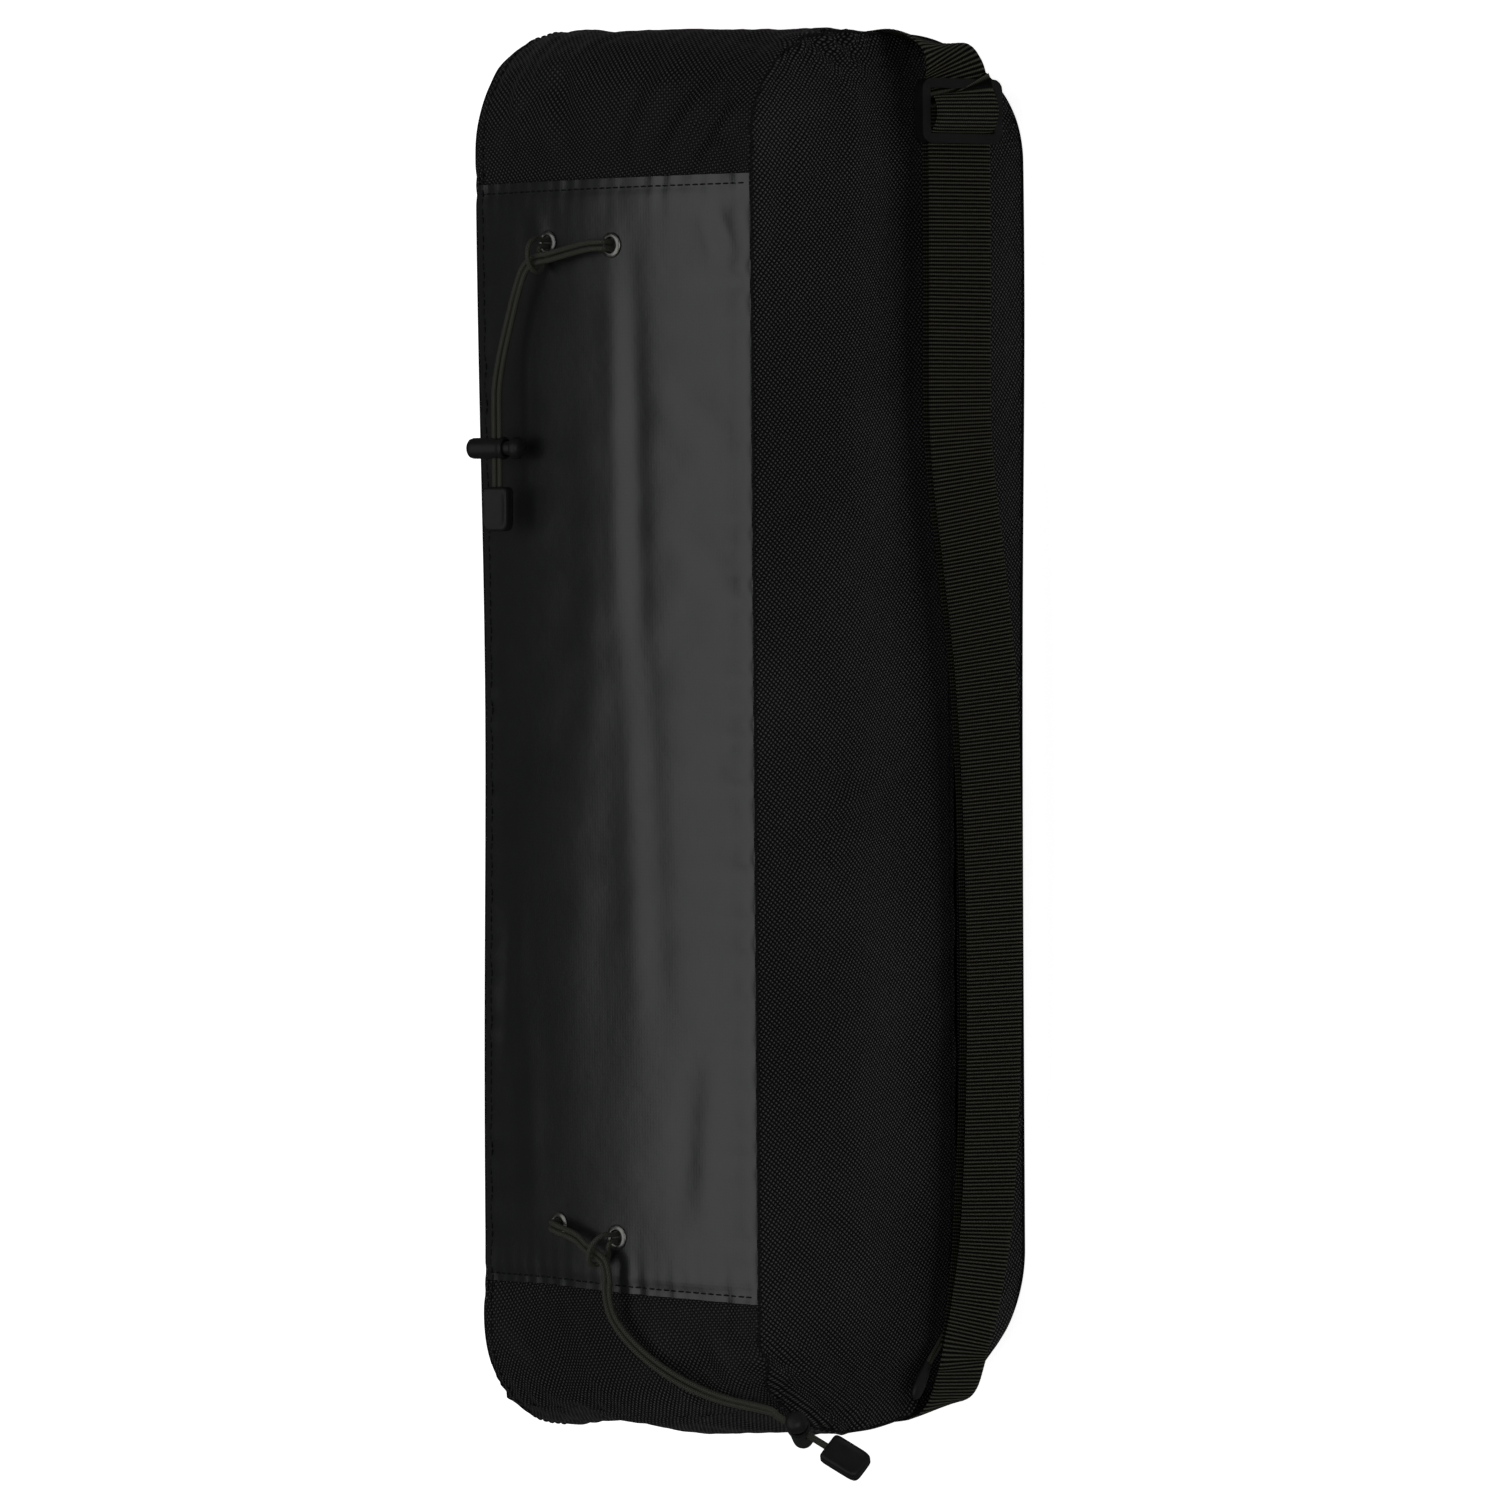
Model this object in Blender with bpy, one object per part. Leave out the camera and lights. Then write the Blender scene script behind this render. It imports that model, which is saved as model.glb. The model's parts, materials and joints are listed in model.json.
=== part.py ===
"""A soft rectangular compression sack lying on its back panel, with its drawcords, zip and shoulder strap.

Frame: +X runs along the sack to its upper end, +Z is the front face's outward normal, and the shoulder strap and the zip
are on the -Y side. The origin is the middle of the flat back panel's outer face. All sizes are in metres.
"""

import math

import bmesh
import bpy
from mathutils import Matrix, Vector

# Driving sizes
HALF_LENGTH = 0.297       # middle of the sack to each end seam
HALF_WIDTH = 0.080        # middle plane to each side seam
HEIGHT = 0.170            # back panel to the front seams
WALL = 0.0016             # wall thickness of the plain soft solids
GAP = 0.0004              # clearance between neighbouring pieces
SEAM_INSET = 0.0030       # side panels' edges inside the outline: the wall, clearance and the arcs' facets
FRONT_CROWN = 0.009       # how far the filled front face stands above its seams
END_CROWN = 0.004         # the same for the two ends
SIDE_CROWN = 0.006        # the same for the two sides
COATED_HALF = 0.234       # half the length of the coated front panel

# The side outline's elliptical corners: half-axis along X, half-axis along Z
FRONT_TOP = (0.050, 0.055)
BACK_TOP = (0.055, 0.060)
BACK_BOTTOM = (0.050, 0.095)
FRONT_BOTTOM = (0.055, 0.060)

# Zip
ZIP_Z = 0.045             # height of the zip's middle line on the side
ZIP_HALF = 0.231          # half the length of the coils
SLOT_HALF = 0.0060        # half the width of the opening between the two side pieces
TAPE_WIDTH = 0.011
TAPE_THICK = 0.0006
COIL_WIDTH = 0.0024
COIL_SLIT = 0.0007        # half the slit between the coils, where the slider's post runs
SLIDER_X = -0.2235
SLIDER_SIZE = (0.012, 0.0094)
PULL_Y = -0.0887
PULL_ANGLE = math.radians(33.5)
PULL_REACH = 0.0530       # pivot to the end of the pull cord
TIP_LENGTH = 0.0160

# Shoulder strap
WEB_WIDTH = 0.030
WEB_THICK = 0.0014
LAYER_OFFSET = 0.0048     # front layer's middle to return layer's middle, with the buckle's bar between
CLOSING_LENGTH = 0.060    # stretch at the bottom over which the two layers come together
RETURN_TUCK = 0.003       # how far the return layer reaches under the buckle
STRAP_TOP_X = 0.2850
STRAP_BOTTOM_X = -0.2620
STRAIGHT_END_X = 0.125    # the strap is straight from its top to here, where the buckle slides
STRAP_Y = -0.1010         # middle of the front layer where it is straight
STRAP_TOP_Z = 0.0632
STRAP_TOP_TILT = 18       # degrees that the straight stretch leans back
STRAP_BOTTOM_Z = 0.0560
BUCKLE_X = 0.262
BUCKLE_SIZE = (0.0270, 0.0390)

# Drawcords and their fittings
CORD = 0.0024
CORD_PITCH = 0.0027       # between the two strands of a doubled cord
EYELET_OUTER = 0.0054
EYELET_BORE = 0.0029
EYELET_BARREL = 0.0034
LOCK_RADIUS = 0.0047
LOCK_BORE = 0.0036
STEM_RADIUS = 0.0032
PRESS_TRAVEL = 0.0033

COLOURS = {
    "coated": ((0.020, 0.021, 0.021), 0.35, 0.0),
    "oxford": ((0.012, 0.012, 0.012), 0.85, 0.0),
    "binding": ((0.010, 0.010, 0.010), 0.90, 0.0),
    "webbing": ((0.013, 0.013, 0.011), 0.80, 0.0),
    "zip": ((0.010, 0.010, 0.010), 0.50, 0.0),
    "plastic": ((0.011, 0.012, 0.011), 0.40, 0.0),
    "cord": ((0.016, 0.016, 0.013), 0.75, 0.0),
    "black_metal": ((0.014, 0.014, 0.014), 0.30, 1.0),
    "steel": ((0.45, 0.45, 0.45), 0.30, 1.0),
}


# ---------------------------------------------------------------- helpers

def clear_scene():
    for item in list(bpy.data.objects):
        bpy.data.objects.remove(item, do_unlink=True)


def material(name):
    found = bpy.data.materials.get(name)
    if found:
        return found
    colour, roughness, metallic = COLOURS[name]
    made = bpy.data.materials.new(name)
    made.use_nodes = True
    shader = made.node_tree.nodes["Principled BSDF"]
    shader.inputs["Base Color"].default_value = (*colour, 1.0)
    shader.inputs["Roughness"].default_value = roughness
    shader.inputs["Metallic"].default_value = metallic
    return made


def add_object(name, data, slot):
    made = bpy.data.objects.new(name, data)
    bpy.context.scene.collection.objects.link(made)
    data.materials.append(material(slot))
    return made


def mesh_object(name, bm, slot):
    bmesh.ops.recalc_face_normals(bm, faces=bm.faces)
    data = bpy.data.meshes.new(name)
    bm.to_mesh(data)
    bm.free()
    return add_object(name, data, slot)


def lerp(a, b, t):
    return a + (b - a) * t


def spread(a, b, count):
    return [lerp(a, b, i / count) for i in range(count + 1)]


def slab(name, outer, inner, slot):
    """A closed solid between two matching grids of points, each a list of rows."""
    bm = bmesh.new()
    top = [[bm.verts.new(p) for p in row] for row in outer]
    low = [[bm.verts.new(p) for p in row] for row in inner]
    rows = len(outer)
    columns = len(outer[0])
    for i in range(rows - 1):
        for j in range(columns - 1):
            bm.faces.new((top[i][j], top[i + 1][j], top[i + 1][j + 1], top[i][j + 1]))
            bm.faces.new((low[i][j], low[i][j + 1], low[i + 1][j + 1], low[i + 1][j]))
    for i in range(rows - 1):
        for j in (0, columns - 1):
            bm.faces.new((top[i][j], low[i][j], low[i + 1][j], top[i + 1][j]))
    for j in range(columns - 1):
        for i in (0, rows - 1):
            bm.faces.new((top[i][j], top[i][j + 1], low[i][j + 1], low[i][j]))
    return mesh_object(name, bm, slot)


def box(name, low, high, slot):
    bm = bmesh.new()
    size = [high[i] - low[i] for i in range(3)]
    middle = [(high[i] + low[i]) / 2 for i in range(3)]
    bmesh.ops.create_cube(bm, size=1.0)
    bmesh.ops.scale(bm, vec=size, verts=bm.verts)
    bmesh.ops.translate(bm, vec=middle, verts=bm.verts)
    return mesh_object(name, bm, slot)


def turned(name, profile, segments, slot):
    """A ring or a solid turned about local Z from a closed list of (radius, height) points."""
    bm = bmesh.new()
    rings = []
    for radius, height in profile:
        if radius < 1e-7:
            rings.append([bm.verts.new((0, 0, height))])
            continue
        ring = []
        for k in range(segments):
            angle = math.tau * k / segments
            ring.append(bm.verts.new((radius * math.cos(angle), radius * math.sin(angle), height)))
        rings.append(ring)
    pairs = list(zip(rings, rings[1:]))
    if len(rings[0]) > 1:
        pairs.append((rings[-1], rings[0]))
    for a, b in pairs:
        for k in range(segments):
            n = (k + 1) % segments
            corners = [a[k % len(a)], a[n % len(a)], b[n % len(b)], b[k % len(b)]]
            unique = list(dict.fromkeys(corners))
            bm.faces.new(unique)
    made = mesh_object(name, bm, slot)
    made.data.shade_smooth()
    made.data.set_sharp_from_angle(angle=math.radians(35))
    return made


def frame_matrix(origin, z_axis, x_hint):
    """A placement whose local Z is z_axis and whose local X is as near x_hint as it can be."""
    z = Vector(z_axis).normalized()
    x = Vector(x_hint)
    x = (x - z * x.dot(z)).normalized()
    y = z.cross(x)
    matrix = Matrix((x, y, z)).transposed().to_4x4()
    matrix.translation = Vector(origin)
    return matrix


def cut(target, cutters):
    for cutter in cutters:
        cutter.hide_render = True
        cutter.display_type = "WIRE"
        modifier = target.modifiers.new(cutter.name, "BOOLEAN")
        modifier.operation = "DIFFERENCE"
        modifier.object = cutter


def smooth_points(route, count):
    """Points at even steps along a Catmull-Rom curve through the route's points."""
    pts = [Vector(p) for p in route]
    pts = [pts[0] * 2 - pts[1]] + pts + [pts[-1] * 2 - pts[-2]]
    fine = []
    for a, b, c, d in zip(pts, pts[1:], pts[2:], pts[3:]):
        for k in range(24):
            t = k / 24
            fine.append(0.5 * (2 * b + (c - a) * t + (2 * a - 5 * b + 4 * c - d) * t ** 2
                               + (3 * b - a - 3 * c + d) * t ** 3))
    fine.append(pts[-2])
    lengths = [0.0]
    for a, b in zip(fine, fine[1:]):
        lengths.append(lengths[-1] + (b - a).length)
    out = []
    k = 0
    for i in range(count):
        wanted = lengths[-1] * i / (count - 1)
        while k < len(fine) - 2 and lengths[k + 1] < wanted:
            k += 1
        t = (wanted - lengths[k]) / max(lengths[k + 1] - lengths[k], 1e-9)
        out.append(fine[k].lerp(fine[k + 1], t))
    return out


def cord_tube(name, route, diameter, slot, count):
    data = bpy.data.curves.new(name, "CURVE")
    data.dimensions = "3D"
    data.bevel_depth = diameter / 2
    data.bevel_resolution = 2
    data.use_fill_caps = True
    points = smooth_points(route, count)
    spline = data.splines.new("POLY")
    spline.points.add(len(points) - 1)
    for target, p in zip(spline.points, points):
        target.co = (*p, 1.0)
    return add_object(name, data, slot)


# ---------------------------------------------------------------- the sack's outline and surfaces

def corner(middle, axes, start, end, count):
    """Points and outward normals along one elliptical corner of the side outline."""
    out = []
    for angle in spread(math.radians(start), math.radians(end), count):
        c = math.cos(angle)
        s = math.sin(angle)
        point = Vector((middle[0] + axes[0] * c, 0, middle[1] + axes[1] * s))
        normal = Vector((c / axes[0], 0, s / axes[1])).normalized()
        out.append((point, normal))
    return out


def corner_middle(axes, x_sign, z_sign):
    x = x_sign * (HALF_LENGTH - axes[0])
    z = HEIGHT - axes[1] if z_sign > 0 else axes[1]
    return x, z


def front_top(count=8):
    return corner(corner_middle(FRONT_TOP, 1, 1), FRONT_TOP, 90, 0, count)


def back_top(count=8):
    return corner(corner_middle(BACK_TOP, 1, -1), BACK_TOP, 0, -90, count)


def back_bottom(count=9):
    return corner(corner_middle(BACK_BOTTOM, -1, -1), BACK_BOTTOM, -90, -180, count)


def front_bottom(count=8):
    return corner(corner_middle(FRONT_BOTTOM, -1, 1), FRONT_BOTTOM, 180, 90, count)


def straight(a, b, normal, count):
    return [(Vector(a).lerp(Vector(b), i / count), Vector(normal)) for i in range(count + 1)]


def crown(point):
    """How far the filled wall stands out at this place of the outline, in the middle of its width."""
    front = min(1.0, max(0.0, (point.z - 0.100) / 0.060))
    back = min(1.0, max(0.0, (0.100 - point.z) / 0.060))
    end = END_CROWN * (1.0 - back)
    return lerp(end, FRONT_CROWN, front * front * (3 - 2 * front))


def gusset_point(point, normal, y):
    bulge = crown(point) * (1.0 - (y / HALF_WIDTH) ** 2)
    return Vector((point.x, y, point.z)) + normal * bulge


def gusset_piece(name, stations, slot):
    """One stretch of the strip that runs round the sack between its two side panels."""
    outer = []
    inner = []
    for point, normal in stations:
        row = [gusset_point(point, normal, y) for y in spread(-HALF_WIDTH, HALF_WIDTH, 8)]
        outer.append(row)
        inner.append([p - normal * WALL for p in row])
    return slab(name, outer, inner, slot)


def low_edge(x, inset):
    """Height of the side outline's lower edge at x, moved in by inset."""
    axes, sign = (BACK_TOP, 1) if x > 0 else (BACK_BOTTOM, -1)
    middle = corner_middle(axes, sign, -1)
    past = (x - middle[0]) * sign / (axes[0] - inset)
    if past <= 0:
        return inset
    return middle[1] - (axes[1] - inset) * math.sqrt(max(0.0, 1 - past ** 2))


def high_edge(x, inset):
    """Height of the side outline's upper edge at x, moved in by inset."""
    axes, sign = (FRONT_TOP, 1) if x > 0 else (FRONT_BOTTOM, -1)
    middle = corner_middle(axes, sign, 1)
    past = (x - middle[0]) * sign / (axes[0] - inset)
    if past <= 0:
        return HEIGHT - inset
    return middle[1] + (axes[1] - inset) * math.sqrt(max(0.0, 1 - past ** 2))


def side_bulge(x, z):
    """How far a side panel stands out beyond its seams."""
    across = math.sin(math.pi * min(1.0, max(0.0, z / HEIGHT)))
    along = min(1.0, max(0.0, (HALF_LENGTH - abs(x)) / 0.055))
    return SIDE_CROWN * across * along * (2 - along)


def side_x_stations():
    """Places along the sack, closer together round the corners and at the zip's ends."""
    end = HALF_LENGTH - SEAM_INSET
    tail = [end - 0.0500 * (1 - math.cos(math.radians(a))) for a in (0, 12, 24, 36, 48, 60, 72)]
    inner = [0.2420, 0.2385, 0.200, 0.120, 0.040]
    half = [x for x in tail if x > 0.2435] + inner
    return [-x for x in half] + list(reversed(half))


def side_grid(sign, x_list, low, high, count, depth):
    """A grid on a side panel's surface, depth below it; sign is -1 on the strap's side."""
    grid = []
    for x in x_list:
        row = []
        for z in spread(low(x), high(x), count):
            row.append(Vector((x, sign * (HALF_WIDTH + side_bulge(x, z) - depth), z)))
        grid.append(row)
    return grid


def side_piece(name, sign, x_list, low, high, count, slot, depth=0.0, thick=WALL):
    outer = side_grid(sign, x_list, low, high, count, depth)
    inner = side_grid(sign, x_list, low, high, count, depth + thick)
    return slab(name, outer, inner, slot)


def slot_half(x):
    """Half the opening left for the zip at x; beyond the zip the two side pieces meet."""
    return SLOT_HALF if abs(x) < 0.240 else GAP / 2


# ---------------------------------------------------------------- fabric pieces

def build_gusset():
    seam = GAP / 2
    top_x = HALF_LENGTH - FRONT_TOP[0]
    low_x = -HALF_LENGTH + FRONT_BOTTOM[0]
    up = (0, 0, 1)
    coated_stations = straight((-COATED_HALF, 0, HEIGHT), (COATED_HALF, 0, HEIGHT), up, 10)
    gusset_piece("front_panel_coated", coated_stations, "coated")

    upper = straight((COATED_HALF + GAP, 0, HEIGHT), (top_x, 0, HEIGHT), up, 1)[:-1] + front_top()
    end_low = BACK_TOP[1]
    upper.append((Vector((HALF_LENGTH, 0, (HEIGHT - FRONT_TOP[1] + end_low) / 2)), Vector((1, 0, 0))))
    upper.append((Vector((HALF_LENGTH, 0, end_low + seam)), Vector((1, 0, 0))))
    gusset_piece("front_panel_upper", upper, "oxford")

    back = [(Vector((HALF_LENGTH, 0, end_low - seam)), Vector((1, 0, 0)))] + back_top()[1:]
    back += straight(back[-1][0], (-HALF_LENGTH + BACK_BOTTOM[0], 0, 0), (0, 0, -1), 4)[1:]
    back += back_bottom()[1:-1]
    back.append((Vector((-HALF_LENGTH, 0, BACK_BOTTOM[1] - seam)), Vector((-1, 0, 0))))
    gusset_piece("back_panel", back, "oxford")

    lower = [(Vector((-HALF_LENGTH, 0, BACK_BOTTOM[1] + seam)), Vector((-1, 0, 0)))] + front_bottom()
    lower.append((Vector((-COATED_HALF - GAP, 0, HEIGHT)), Vector(up)))
    gusset_piece("front_panel_lower", lower, "oxford")


def build_sides():
    x_list = side_x_stations()
    low = lambda x: low_edge(x, SEAM_INSET)
    high = lambda x: high_edge(x, SEAM_INSET)
    side_piece("side_panel_plain", 1, x_list, low, high, 8, "oxford")
    over_zip = lambda x: max(ZIP_Z + slot_half(x), low(x))
    side_piece("side_panel_strap_front", -1, x_list, over_zip, high, 7, "oxford")
    rear_x = [x for x in x_list if low(x) < ZIP_Z - 0.003]
    under_zip = lambda x: ZIP_Z - slot_half(x)
    side_piece("side_panel_strap_rear", -1, rear_x, low, under_zip, 3, "oxford")


def build_seam_tapes():
    """The bound seam allowance inside each side seam: a closed ring that follows the outline."""
    stations = front_top() + back_top() + back_bottom() + front_bottom()
    for name, sign in (("seam_binding_strap_side", -1), ("seam_binding_plain_side", 1)):
        rings = []
        for y in (HALF_WIDTH - WALL - GAP, HALF_WIDTH - 0.009):
            for depth in (WALL + GAP, WALL + GAP + 0.0010):
                rings.append([(gusset_point(p, n, sign * y) - n * depth) for p, n in stations])
        order = (rings[0], rings[1], rings[3], rings[2])
        bm = bmesh.new()
        loops = [[bm.verts.new(p) for p in ring] for ring in order]
        count = len(stations)
        for a in range(4):
            b = (a + 1) % 4
            for k in range(count):
                n = (k + 1) % count
                bm.faces.new((loops[a][k], loops[a][n], loops[b][n], loops[b][k]))
        mesh_object(name, bm, "binding")


# ---------------------------------------------------------------- zip

def zip_surface():
    return HALF_WIDTH + side_bulge(0.0, ZIP_Z)


def build_zip():
    surface = zip_surface()
    x_list = spread(-ZIP_HALF - 0.004, ZIP_HALF + 0.004, 6)
    coil_edge = COIL_SLIT + COIL_WIDTH
    for name, sign in (("front", 1), ("rear", -1)):
        near = coil_edge + GAP
        far = near + TAPE_WIDTH
        limits = sorted((ZIP_Z + sign * near, ZIP_Z + sign * far))
        depth = WALL + GAP
        side_piece("zip_tape_" + name, -1, x_list, lambda x: limits[0], lambda x: limits[1], 3,
                   "zip", depth, TAPE_THICK)
        edges = sorted((ZIP_Z + sign * COIL_SLIT, ZIP_Z + sign * coil_edge))
        box("zip_coil_" + name, (-ZIP_HALF, -surface - 0.0004, edges[0]),
            (ZIP_HALF, -surface + 0.0018, edges[1]), "zip")
    for name, sign in (("zip_top_stop", 1), ("zip_bottom_stop", -1)):
        xs = sorted((sign * (ZIP_HALF + GAP), sign * (ZIP_HALF + 0.0025)))
        box(name, (xs[0], -surface - 0.0008, ZIP_Z - 0.003), (xs[1], -surface + 0.0016, ZIP_Z + 0.003),
            "black_metal")


def slider_outline(half_x, half_z):
    """A slider plate's outline: a rectangle that narrows a little towards its tail."""
    return [(half_x, half_z), (-half_x * 0.3, half_z), (-half_x, half_z * 0.72), (-half_x, -half_z * 0.72),
            (-half_x * 0.3, -half_z), (half_x, -half_z)]


def build_slider():
    """Two plates joined by a post in the coils' slit, and a bail on the outer plate."""
    surface = zip_surface()
    half_x = SLIDER_SIZE[0] / 2
    post = 0.0004
    outer_face = -surface - 0.0020
    outer_under = -surface - 0.0008
    inner_face = -surface + 0.0022
    inner_under = -surface + 0.0032
    bm = bmesh.new()

    def prism(outline, y0, y1):
        rows = [[bm.verts.new((SLIDER_X + x, y, ZIP_Z + z)) for x, z in outline] for y in (y0, y1)]
        count = len(outline)
        bm.faces.new(rows[0])
        bm.faces.new(list(reversed(rows[1])))
        for k in range(count):
            n = (k + 1) % count
            bm.faces.new((rows[0][k], rows[0][n], rows[1][n], rows[1][k]))

    prism(slider_outline(half_x, SLIDER_SIZE[1] / 2), outer_face, outer_under)
    base = mesh_object("zip_slider", bm, "black_metal")
    parts = []
    parts.append(box("slider_post", (SLIDER_X + 0.0020, outer_under - 0.0003, ZIP_Z - post),
                     (SLIDER_X + 0.0045, inner_face + 0.0003, ZIP_Z + post), "black_metal"))
    parts.append(box("slider_keeper", (SLIDER_X - half_x + 0.001, inner_face, ZIP_Z - 0.0029),
                     (SLIDER_X + half_x - 0.001, inner_under, ZIP_Z + 0.0029), "black_metal"))
    parts.append(box("slider_bail", (SLIDER_X - 0.0040, outer_face - 0.0032, ZIP_Z - 0.0010),
                     (SLIDER_X + 0.0040, outer_face + 0.0003, ZIP_Z + 0.0010), "black_metal"))
    for part in parts:
        modifier = base.modifiers.new(part.name, "BOOLEAN")
        modifier.operation = "UNION"
        modifier.object = part
        part.hide_render = True
        part.display_type = "WIRE"
    eye = box("slider_bail_eye", (SLIDER_X - 0.0028, outer_face - 0.0022, ZIP_Z - 0.0020),
              (SLIDER_X + 0.0028, outer_face, ZIP_Z + 0.0020), "black_metal")
    cut(base, [eye])


def build_zip_pull():
    """A short cord with a moulded tip; it lies along the side and swings about the slider's bail."""
    pivot = Vector((SLIDER_X, PULL_Y, ZIP_Z))
    along = Vector((-math.cos(PULL_ANGLE), 0, math.sin(PULL_ANGLE)))
    across = Vector((math.sin(PULL_ANGLE), 0, math.cos(PULL_ANGLE)))
    route = []
    for distance, bow in ((0.0052, 0.0), (0.018, -0.0022), (0.034, -0.0030), (PULL_REACH, 0.0)):
        route.append(pivot + along * distance + across * bow)
    cord_tube("zip_pull_cord", route, 0.0018, "cord", 12)
    profile = [(0.0, PULL_REACH + GAP), (0.0015, PULL_REACH + GAP), (0.0020, PULL_REACH + 0.0030),
               (0.0030, PULL_REACH + 0.0090), (0.0031, PULL_REACH + 0.0125),
               (0.0020, PULL_REACH + TIP_LENGTH - 0.001), (0.0, PULL_REACH + TIP_LENGTH)]
    tip = turned("zip_pull_tip", profile, 12, "plastic")
    placement = frame_matrix(pivot, along, across)
    flat = Matrix.Diagonal((1.0, 0.62, 1.0, 1.0))
    tip.data.transform(placement @ flat)


# ---------------------------------------------------------------- shoulder strap

def strap_stations():
    """Middle of the front layer and its tilt, from the top of the moving stretch to its bottom."""
    straight_end = (STRAIGHT_END_X, STRAP_Y, STRAP_TOP_Z, STRAP_TOP_TILT)
    rows = [(STRAP_TOP_X, STRAP_Y, STRAP_TOP_Z, STRAP_TOP_TILT), straight_end]
    route = [(0.200, STRAP_Y, STRAP_TOP_Z, STRAP_TOP_TILT), straight_end, (0.072, -0.1012, 0.0555, 18),
             (0.020, -0.1012, 0.0480, 17), (-0.055, -0.1005, 0.0432, 13), (-0.135, -0.1000, 0.0430, 9),
             (-0.205, -0.0985, 0.0462, 6), (-0.240, -0.0965, 0.0510, 3),
             (STRAP_BOTTOM_X, -0.0945, STRAP_BOTTOM_Z, 0)]
    points = [Vector(r[:3]) for r in route]
    for i in range(1, len(route) - 1):
        a = points[i - 1]
        b = points[i]
        c = points[i + 1]
        d = points[i + 2] if i + 2 < len(points) else c * 2 - b
        for k in range(1, 4):
            t = k / 3
            p = 0.5 * (2 * b + (c - a) * t + (2 * a - 5 * b + 4 * c - d) * t ** 2
                       + (3 * b - a - 3 * c + d) * t ** 3)
            rows.append((p.x, p.y, p.z, lerp(route[i][3], route[i + 1][3], t)))
    return rows


def ribbon(name, rows, slot):
    """A flat band: each row is its middle, its width direction and its outward normal."""
    outer = []
    inner = []
    for middle, width, normal in rows:
        edges = [middle - width * WEB_WIDTH / 2, middle + width * WEB_WIDTH / 2]
        outer.append([p + normal * WEB_THICK / 2 for p in edges])
        inner.append([p - normal * WEB_THICK / 2 for p in edges])
    return slab(name, outer, inner, slot)


def tilt_axes(tilt):
    angle = math.radians(tilt)
    width = Vector((0, math.sin(angle), math.cos(angle)))
    normal = Vector((0, -math.cos(angle), math.sin(angle)))
    return width, normal


def build_strap():
    front = []
    back = []
    for x, y, z, tilt in strap_stations():
        width, normal = tilt_axes(tilt)
        middle = Vector((x, y, z))
        front.append((middle, width, normal))
        closing = min(1.0, max(0.0, (x - STRAP_BOTTOM_X) / CLOSING_LENGTH))
        offset = lerp(WEB_THICK + GAP, LAYER_OFFSET, closing)
        back.append((middle - normal * offset, width, normal))
    ribbon("strap_front_layer", front, "webbing")
    first = back[0][0].copy()
    first.x = BUCKLE_X - BUCKLE_SIZE[0] / 2 + RETURN_TUCK
    back[0] = (first, back[0][1], back[0][2])
    ribbon("strap_return_layer", back, "webbing")


def strap_tab(name, route, slot):
    """A fixed end of the strap: it turns over the end seam and is sewn to the end of the sack."""
    rows = []
    points = [Vector(p) for p, _ in route]
    for i, (_, width) in enumerate(route):
        before = points[max(0, i - 1)]
        after = points[min(len(points) - 1, i + 1)]
        run = (after - before).normalized()
        w = Vector(width)
        w = (w - run * w.dot(run)).normalized()
        rows.append((points[i], w, w.cross(run)))
    return ribbon(name, rows, slot)


def build_strap_tabs():
    top_width = tilt_axes(STRAP_TOP_TILT)[0]
    up = (0, 0, 1)
    strap_tab("strap_upper_tab", [
        ((STRAP_TOP_X + GAP, STRAP_Y, STRAP_TOP_Z), top_width), ((0.2885, STRAP_Y, STRAP_TOP_Z), top_width),
        ((0.2945, -0.0975, 0.0652), (0, 0.2, 1)), ((0.2985, -0.0905, 0.0698), (0, 0.1, 1)),
        ((0.3005, -0.0830, 0.0722), up), ((0.3008, -0.0740, 0.0748), up), ((0.3020, -0.0350, 0.0850), up)],
        "webbing")
    slant = (-0.16, 0, 1)
    strap_tab("strap_lower_tab", [
        ((STRAP_BOTTOM_X - GAP, -0.0945, STRAP_BOTTOM_Z), up), ((-0.2740, -0.0925, STRAP_BOTTOM_Z), up),
        ((-0.2850, -0.0897, STRAP_BOTTOM_Z), (-0.06, 0, 1)), ((-0.2930, -0.0850, STRAP_BOTTOM_Z), slant),
        ((-0.2968, -0.0775, STRAP_BOTTOM_Z), slant), ((-0.2978, -0.0700, STRAP_BOTTOM_Z), slant),
        ((-0.2995, -0.0400, STRAP_BOTTOM_Z), slant)], "webbing")


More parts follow.
